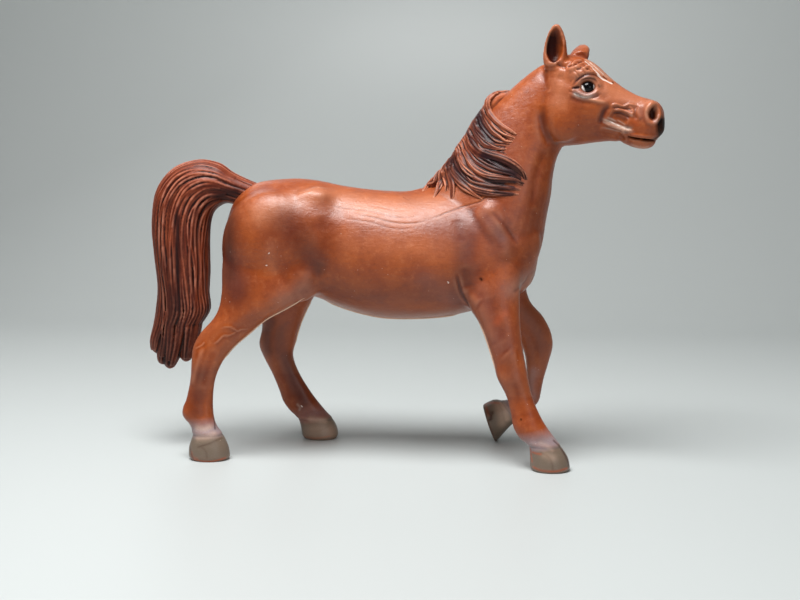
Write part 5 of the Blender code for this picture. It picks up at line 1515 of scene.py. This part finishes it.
# The topmost lock loops up off the crest and back, as a thick smooth lip: pixels and girth
LIP = [
    (507.5, 89.5, 0.35), (501.0, 92.6, 0.75), (494.6, 96.0, 1.00), (489.6, 101.0, 1.15),
    (488.2, 107.0, 1.15), (490.8, 114.0, 1.10), (496.0, 121.0, 1.00), (503.0, 126.8, 0.85),
    (510.0, 130.8, 0.65), (516.4, 134.3, 0.30)]
LIP_RADIUS = 0.62 * MM
# The bare neck that shows inside the lip's loop
BARE_CREST = [(503, 94.5), (497, 98), (494, 103), (494.4, 109), (497, 114)]
# Where the paint was left dark when the mane was wiped: lines of pixels, width, strength
DARK_LOCKS = [
    ([(477, 112), (481, 127), (488, 139)], 1.9, 1.00),
    ([(473, 124), (476, 136), (482, 146)], 1.0, 0.70),
    ([(484, 156), (499, 166), (514, 174)], 2.2, 1.00),
    ([(494, 172), (504, 176), (514, 180)], 0.9, 0.60),
    ([(488, 181), (504, 184), (520, 188)], 1.7, 0.95),
    ([(496, 191), (512, 193)], 1.1, 0.90),
    ([(452, 160), (458, 172), (466, 181)], 1.7, 0.90),
    ([(446, 164), (450, 172), (452, 179)], 0.9, 0.70),
    ([(467, 131), (472, 142), (478, 150)], 0.8, 0.80),
    ([(469, 178), (480, 188), (491, 197)], 1.2, 0.55)]


def hair_tree():
    """Sweep a round strand along each guide line, as thick as the line says."""
    tree = bpy.data.node_groups.new("swept_strands", "GeometryNodeTree")
    face = tree.interface
    face.new_socket("Geometry", in_out="INPUT", socket_type="NodeSocketGeometry")
    thick = face.new_socket("Strand radius", in_out="INPUT", socket_type="NodeSocketFloat")
    sides = face.new_socket("Sides", in_out="INPUT", socket_type="NodeSocketInt")
    finish_in = face.new_socket("Paint", in_out="INPUT", socket_type="NodeSocketMaterial")
    face.new_socket("Geometry", in_out="OUTPUT", socket_type="NodeSocketGeometry")
    start = tree.nodes.new("NodeGroupInput")
    profile = add_node(
        tree, "GeometryNodeCurvePrimitiveCircle", Radius=start.outputs["Strand radius"],
        Resolution=start.outputs["Sides"])
    radius = tree.nodes.new("GeometryNodeInputRadius")
    swept = add_node(
        tree, "GeometryNodeCurveToMesh", Curve=start.outputs["Geometry"],
        Profile_Curve=profile.outputs["Curve"], Scale=radius.outputs["Radius"], Fill_Caps=True)
    real = add_node(tree, "GeometryNodeRealizeInstances", Geometry=swept.outputs["Mesh"])
    painted = add_node(
        tree, "GeometryNodeSetMaterial", Geometry=real.outputs["Geometry"],
        Material=start.outputs["Paint"])
    end = tree.nodes.new("NodeGroupOutput")
    tree.links.new(painted.outputs["Geometry"], end.inputs["Geometry"])
    return tree, thick.identifier, sides.identifier, finish_in.identifier


strand_tree, RADIUS_IN, SIDES_IN, PAINT_IN = hair_tree()


def swept(name, strands, radius, paint):
    """A mesh of strands: each is a list of (point, thickness beside the radius)."""
    guides = bpy.data.curves.new(name, "CURVE")
    guides.dimensions = "3D"
    for strand in strands:
        line = guides.splines.new("POLY")
        line.points.add(len(strand) - 1)
        for knot, (point, girth) in zip(line.points, strand):
            knot.co = (*point, 1)
            knot.radius = girth
    made = bpy.data.objects.new(name, guides)
    scene.collection.objects.link(made)
    sweep = made.modifiers.new("strands", "NODES")
    sweep.node_group = strand_tree
    sweep[RADIUS_IN] = radius
    sweep[SIDES_IN] = 12
    sweep[PAINT_IN] = paint
    graph = bpy.context.evaluated_depsgraph_get()
    data = bpy.data.meshes.new_from_object(made.evaluated_get(graph))
    bpy.data.objects.remove(made)
    plain = bpy.data.objects.new(name, data)
    scene.collection.objects.link(plain)
    return plain


# The coat's own colour, where no hair covers the crest
BARE_CODE = "#A8562F"


def wiped_and_shaded_paint(name, low, high, dark, ridge_highlight_code, groove_shade_code):
    """Satin paint over hair: dark wash and painted shade in the grooves, painted highlight on the ridges.
    """
    made, tree, shader = new_material(name)
    where = add_node(tree, "ShaderNodeTexCoord").outputs["Object"]
    clouds = noise_of(tree, where, 4 * MM, 4.0, 0.6)
    tint = mark_of(tree, "tint")
    blend = add_node(
        tree, "ShaderNodeMath", {"operation": "MULTIPLY_ADD"},
        _0=tint, _1=0.35, _2=clouds)
    colour = two_tone(tree, blend.outputs[0], 0.50, low, 0.85, high)
    recess = mark_of(tree, "recess")
    # Each step lays one more colour over the last, by a share of its own: painted highlight on the
    # ridges, the dark locks, dark wash and painted shade in the grooves, and the bare coat
    ridge = ranged(tree, recess, -0.20, -0.8, 0.0, 0.85)
    sunk_shade = ranged(tree, recess, -0.25, 0.55, 0.0, 1.0)
    for share, code in (
            (ridge, ridge_highlight_code), (mark_of(tree, "tone"), dark), (sunk_shade, groove_shade_code),
            (mark_of(tree, "bare"), BARE_CODE)):
        colour = laid_over(tree, colour, share, code)
    tree.links.new(colour, shader.inputs["Base Color"])
    shader.inputs["Roughness"].default_value = 0.42
    shader.inputs["Specular IOR Level"].default_value = 0.20
    peel = noise_of(tree, where, 0.8 * MM, 3.0, 0.5)
    bump = add_node(tree, "ShaderNodeBump", Strength=0.25, Distance=0.1 * MM, Height=peel)
    tree.links.new(bump.outputs["Normal"], shader.inputs["Normal"])
    return made


mane_paint = wiped_and_shaded_paint("wiped_and_shaded_satin_paint_on_mane", "#642A1C", "#9E563A", "#2E171B", "#D08E70", "#160708")
draw = random.Random(7)


# The roll goes on first; the locks are combed over it and the neck together
roll = []
crest = [(on_middle(px, py), girth) for px, py, girth in smooth_rows(CREST_ROLL, 4)]
for i, (spot, girth) in enumerate(crest):
    ahead = crest[min(i + 1, len(crest) - 1)][0] - crest[max(i - 1, 0)][0]
    inward = Vector((-ahead.z, 0, ahead.x)).normalized()
    roll.append((spot + inward * max(girth, 0.80) * MANE_THICKNESS, girth))
roll_mesh = swept("crest_roll", [roll], MANE_THICKNESS, mane_paint)
copies = []
for piece in (skin, roll_mesh):
    twin = piece.copy()
    twin.data = piece.data.copy()
    scene.collection.objects.link(twin)
    copies.append(twin)
combed_base = fuse("combed_base", copies, 0.6 * MM, 5)
on_base = Surface(combed_base)


def lay_lock(pixels, count, spread, crown):
    """Strands of one lock, from beyond the crest over the roll and the neck to the tip."""
    spine = [on_base.seen(*pixel) for pixel in smooth_rows(pixels, 8)]
    first = spine[0][0]
    nearest = min(range(len(roll)), key=lambda i: (roll[i][0] - first).length)
    up_crest = (roll[max(nearest - 2, 0)][0] - roll[min(nearest + 2, len(roll) - 1)][0]).normalized()
    for along, beyond, lower in ((1.1, 0.45, 0.0), (2.2, 0.85, 0.1), (3.2, 1.3, 0.5)):
        aim = first + (up_crest * along + Vector((0, beyond, 0.3 - lower))) * MM
        spine.insert(0, on_base.tree.find_nearest(aim)[:2])
    strands = []
    last = len(spine) - 1
    for k in range(count + 2):
        # Two stout strands fill the lock, the rest ridge it
        core = k >= count
        share = (k / (count - 1) * 2 - 1) if not core else (k - count) - 0.5
        lift = 0.10 + crown * (1 - 0.8 * share * share) + draw.uniform(-0.16, 0.14)
        lift = lift - 0.50 if core else lift
        wander, phase = draw.uniform(0.08, 0.30), draw.uniform(0, 2 * pi)
        ripple, beat = draw.uniform(0.02, 0.09) * min(last / 50, 1) ** 2, draw.uniform(9, 17)
        start = draw.uniform(0.0, 0.03)
        end = 1 - draw.uniform(0.0, 0.16) * abs(share)
        stout = 2.0 if core else draw.uniform(0.60, 1.20)
        strand = []
        for i, (spot, out) in enumerate(spine):
            t = i / last
            if t < start or t > end:
                continue
            ahead = spine[min(i + 1, last)][0] - spine[max(i - 1, 0)][0]
            side = ahead.cross(out).normalized()
            closing = min(max((t - 0.60) / 0.40, 0), 1)
            gather = (0.62 + 0.53 * sin(pi * min(t * 1.25, 1))) * (1 - 0.75 * closing * closing)
            beside = spread / 2 * share * gather + wander * sin(phase + 7 * t)
            beside += ripple * sin(beat * t * 1.6)
            spot, out, _, _ = on_base.tree.find_nearest(spot + side * beside * MM)
            opening = min(t / 0.20, 1)
            girth = stout * (0.60 + 0.40 * opening) * (1 - 0.75 * closing * closing)
            girth *= 1 + ripple * sin(phase + beat * t)
            if core:
                girth *= opening * (1 - 0.8 * closing)
            rise = lift * min(0.15 + 1.5 * t, 1) * (1 - closing * closing) - 0.24 * closing * closing
            rise += 0.5 * ripple * sin(phase * 2 + beat * t)
            strand.append((spot + out * rise * MM, girth))
        strands.append(strand)
    return strands


strands = [strand for lock in LOCKS for strand in lay_lock(*lock)]
# Strands lie along the far side of the crest, where the locks are rooted
for across, drop in ((0.8, 0.0), (1.3, 0.3), (1.7, 0.7), (2.0, 1.2), (2.2, 1.7)):
    line = []
    phase = draw.uniform(0, 2 * pi)
    for i, (spot, girth) in enumerate(roll[2:-2]):
        found, out, _, _ = on_base.tree.find_nearest(
            spot + Vector((-0.5, across, 1.0 - drop)) * MM * (0.6 + 0.5 * girth))
        line.append((found + Vector((0.25, 0, 0.2)) * MM * sin(phase + i * 0.5), 1.25))
    strands.append(line)
lip = []
for px, py, girth in smooth_rows(LIP, 6):
    spot, out = on_base.seen(px, py)
    lip.append((spot, out, girth))
strands_lip = [[(spot + out * LIP_RADIUS * 0.55 * girth, girth) for spot, out, girth in lip]]
for offset, lift in ((-0.62, 0.30), (0.05, 0.55), (0.60, 0.35)):
    line = []
    for i, (spot, out, girth) in enumerate(lip):
        ahead = lip[min(i + 1, len(lip) - 1)][0] - lip[max(i - 1, 0)][0]
        side = ahead.cross(out).normalized()
        line.append((
            spot + (out * (0.55 + lift) + side * offset) * LIP_RADIUS * girth, girth * 0.52))
    strands_lip.append(line)
lip_mesh = swept("lip_lock", strands_lip, LIP_RADIUS, mane_paint)
hair = swept("mane_strands", strands, 0.30 * MM, mane_paint)
mane = fuse("mane_moulding", [hair, roll_mesh, lip_mesh], MANE_GRAIN, 1)


def tint_by_strand(target, strands):
    """Store a number of each strand on the points of the moulding nearest to it."""
    knots = [(point, index) for index, strand in enumerate(strands) for point, _ in strand]
    tree = KDTree(len(knots))
    for point, index in knots:
        tree.insert(point, index)
    tree.balance()
    tints = [draw.random() for _ in strands]
    store(target, "tint", [tints[tree.find(vert.co)[1]] for vert in target.data.vertices])


tint_by_strand(mane, strands + strands_lip)
store(mane, "recess", np.clip(recess_of(mane, 16) / 0.07, -1, 1))
on_mane = Surface(mane)
on_mane.brush("bare", on_mane.line(BARE_CREST), 0.75, 1.0)
for pixels, width, strength in DARK_LOCKS:
    on_mane.brush("tone", on_mane.line(pixels), width, strength)
store(mane, "tone", on_mane.paint["tone"])
store(mane, "bare", on_mane.paint["bare"])
mane.data.shade_smooth()
mane.data.materials.clear()
mane.data.materials.append(mane_paint)
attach(mane, "root")
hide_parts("mane")
bpy.data.objects.remove(combed_base)


# Tail: a moulding of its own, plugged into the rump and carried high. A hundred long strands
# run over its arch and hang down into four blunt tips, painted as the mane is, with dark wash and
# painted shade in the grooves and painted highlight on the ridges.
TAIL_LENGTH = 48 * MM
TAIL_HALF_WIDTH = 5.8 * MM
TAIL_GRAIN = 0.206 * MM
TAIL_LOCKS = 17
TAIL_STRANDS = 6
dock = trunk_point(-0.475, 0, 0.97) + RECENTRED
# x and z of the outer edge, x and z of the inner edge, half width
TAIL_SECTIONS = [
    (0.083, 0.031, 0.042, -0.104, 0.52),
    (-0.010, 0.069, -0.063, -0.073, 0.57),
    (-0.096, 0.110, -0.129, -0.058, 0.64),
    (-0.177, 0.160, -0.173, -0.075, 0.74),
    (-0.292, 0.175, -0.206, -0.108, 0.84),
    (-0.423, 0.129, -0.223, -0.163, 0.91),
    (-0.515, 0.010, -0.229, -0.240, 0.96),
    (-0.542, -0.167, -0.229, -0.333, 1.00),
    (-0.533, -0.333, -0.229, -0.427, 1.00),
    (-0.519, -0.500, -0.235, -0.531, 0.95),
    (-0.531, -0.625, -0.229, -0.625, 0.86),
    (-0.550, -0.719, -0.271, -0.698, 0.74)]
# Blunt tips: x, z and y of each lobe from inside the tail to its end, and its half width
TAIL_TIPS = [
    [(-0.440, -0.560, 0.000, 0.30), (-0.478, -0.690, 0.000, 0.52), (-0.508, -0.780, 0.000, 0.44),
     (-0.529, -0.848, 0.000, 0.28), (-0.533, -0.866, 0.000, 0.06)],
    [(-0.420, -0.580, 0.000, 0.30), (-0.455, -0.740, 0.000, 0.56), (-0.482, -0.840, 0.000, 0.48),
     (-0.499, -0.908, 0.000, 0.30), (-0.503, -0.928, 0.000, 0.06)],
    [(-0.400, -0.580, 0.000, 0.30), (-0.424, -0.750, 0.000, 0.58), (-0.446, -0.860, 0.000, 0.50),
     (-0.461, -0.930, 0.000, 0.30), (-0.465, -0.950, 0.000, 0.06)],
    [(-0.330, -0.560, 0.000, 0.30), (-0.342, -0.710, 0.000, 0.56), (-0.358, -0.820, 0.000, 0.48),
     (-0.371, -0.890, 0.000, 0.30), (-0.375, -0.910, 0.000, 0.06)]]
# The cosine of the way round the tail above which strands run down onto each tip
TIP_FROM = (0.60, 0.20, -0.45, -2)
# How far down a strand lies on its tip
TIP_BELOW = -0.77
# Where the tail is painted darker, partly as painted shade on its rear and lower parts and near
# the dock: lines of pixels, width, strength
DARK_TAIL = [
    ([(164, 262), (162, 290), (160, 325), (156, 346)], 3.4, 0.58),
    ([(172, 290), (172, 320), (169, 345), (166, 364)], 3.2, 0.72),
    ([(188, 336), (186, 357)], 2.0, 0.70),
    ([(160, 334), (163, 349), (167, 362)], 2.8, 0.85),
    ([(177, 217), (178, 260), (178, 310)], 0.9, 1.00),
    ([(160, 205), (157, 235), (158, 262)], 2.0, 0.35),
    ([(199, 215), (196, 245)], 0.7, 0.60),
    ([(190, 250), (192, 285), (194, 310)], 0.5, 0.45),
    ([(218, 196), (226, 194), (236, 192)], 1.8, 0.95),
    ([(209, 304), (206, 318)], 1.2, 0.70)]


def tail_point(x, z, y=0.0):
    return dock + Vector((x, y, z)) * TAIL_LENGTH


tail_paint = wiped_and_shaded_paint("wiped_and_shaded_satin_paint_on_tail", "#6A2A18", "#8E442A", "#38140F", "#C07C64", "#220A07")
tail_rows = smooth_rows(TAIL_SECTIONS, 7)
lobes = [smooth_rows(tip, 6) for tip in TAIL_TIPS]
strands = []
for k in range(TAIL_LOCKS):
    # A lock keeps its own place round the tail, turns a little and stands high or low
    middle_angle = 2 * pi * (k + draw.uniform(-0.25, 0.25)) / TAIL_LOCKS
    twist, bulge = draw.uniform(-0.32, 0.32), draw.uniform(0.0, 0.22)
    sway, phase = draw.uniform(0.02, 0.09), draw.uniform(0, 2 * pi)
    for j in range(TAIL_STRANDS):
        share = j / (TAIL_STRANDS - 1) * 2 - 1
        angle = middle_angle + share * pi / TAIL_LOCKS * draw.uniform(0.9, 1.35)
        drift, own_phase = draw.uniform(0.015, 0.060), draw.uniform(0, 2 * pi)
        stout = draw.uniform(0.45, 1.05)
        # Depth of its middle below the tail's outline, in millimetres: least along the lock's crown
        depth = 0.40 * stout + bulge + 0.30 * share * share + draw.uniform(0, 0.12)
        # Only every other strand reaches up over the narrow dock
        begin = draw.randint(0, 3) if j % 2 else draw.randint(12, 20)
        strand = []
        for i, (ox, oz, ix, iz, width) in enumerate(tail_rows):
            if i < begin:
                continue
            t = i / (len(tail_rows) - 1)
            turn = angle + twist * (t - 0.45) + sway * sin(phase + 6 * t) + drift * sin(own_phase + 17 * t)
            outer, inner = tail_point(ox, oz), tail_point(ix, iz)
            out = (outer - inner) / 2 * cos(turn) + Vector((0, width * TAIL_HALF_WIDTH * sin(turn), 0))
            slim = 0.55 + 0.45 * min(t / 0.3, 1)
            spot = (outer + inner) / 2 + out - out.normalized() * depth * slim * slim * MM
            strand.append((spot, stout * slim * (0.85 + 0.25 * sin(pi * t))))
        # It runs on down the side of the tip below it, closes on its point and thins out
        lobe = lobes[next(n for n, least in enumerate(TIP_FROM) if cos(angle) > least)]
        leaving = strand[-1][0]
        away = leaving - tail_point(*lobe[6][:2], lobe[6][2])
        away.z = 0
        away.normalize()
        run = [[*leaving, stout * 0.85]]
        for row, thin in ((9, 0.85), (12, 0.75), (15, 0.60), (18, 0.35)):
            x, z, y, width = lobe[row]
            if z < TIP_BELOW:
                run.append([*(tail_point(x, z, y) + away * width * TAIL_HALF_WIDTH * 0.95), stout * thin])
        run = run[:draw.randint(4, 5)]
        for x, y, z, girth in smooth_rows([[*strand[-2][0], stout * 0.85]] + run, 3)[4:]:
            strand.append((Vector((x, y, z)), girth))
        strands.append(strand)
hair = swept("tail_strands", strands, 0.44 * MM, tail_paint)
# The core lies just below the strands, and closes where they run on to the tips
CORE_INSET = [0.05] * 10 + [0.12, 0.30]
core = loft([
    (*tail_point(row[0] * (1 - inset) + row[2] * inset, row[1] * (1 - inset) + row[3] * inset).xz,
     *tail_point(row[2] * (1 - inset) + row[0] * inset, row[3] * (1 - inset) + row[1] * inset).xz,
     RECENTRED.y, row[4] * TAIL_HALF_WIDTH * (1 - 2.6 * inset), 0)
    for row, inset in zip(TAIL_SECTIONS, CORE_INSET)])
tips = swept("tail_tips", [
    [(tail_point(x, z, y), width) for x, z, y, width in lobe] for lobe in lobes],
    TAIL_HALF_WIDTH * 0.84, tail_paint)
tail = fuse("tail_moulding", [hair, core, tips], TAIL_GRAIN, 1)
tint_by_strand(tail, strands)
store(tail, "recess", np.clip(recess_of(tail, 16) / 0.08, -1, 1))
on_tail = Surface(tail)
for pixels, width, strength in DARK_TAIL:
    points = on_tail.line(pixels)
    on_tail.brush("tone", points, width, strength)
    on_tail.brush("tone", mirrored(points), width, strength)
store(tail, "tone", on_tail.paint["tone"])
tail.data.shade_smooth()
tail.data.materials.clear()
tail.data.materials.append(tail_paint)
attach(tail, "root")
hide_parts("tail")

bpy.data.objects.remove(skin)
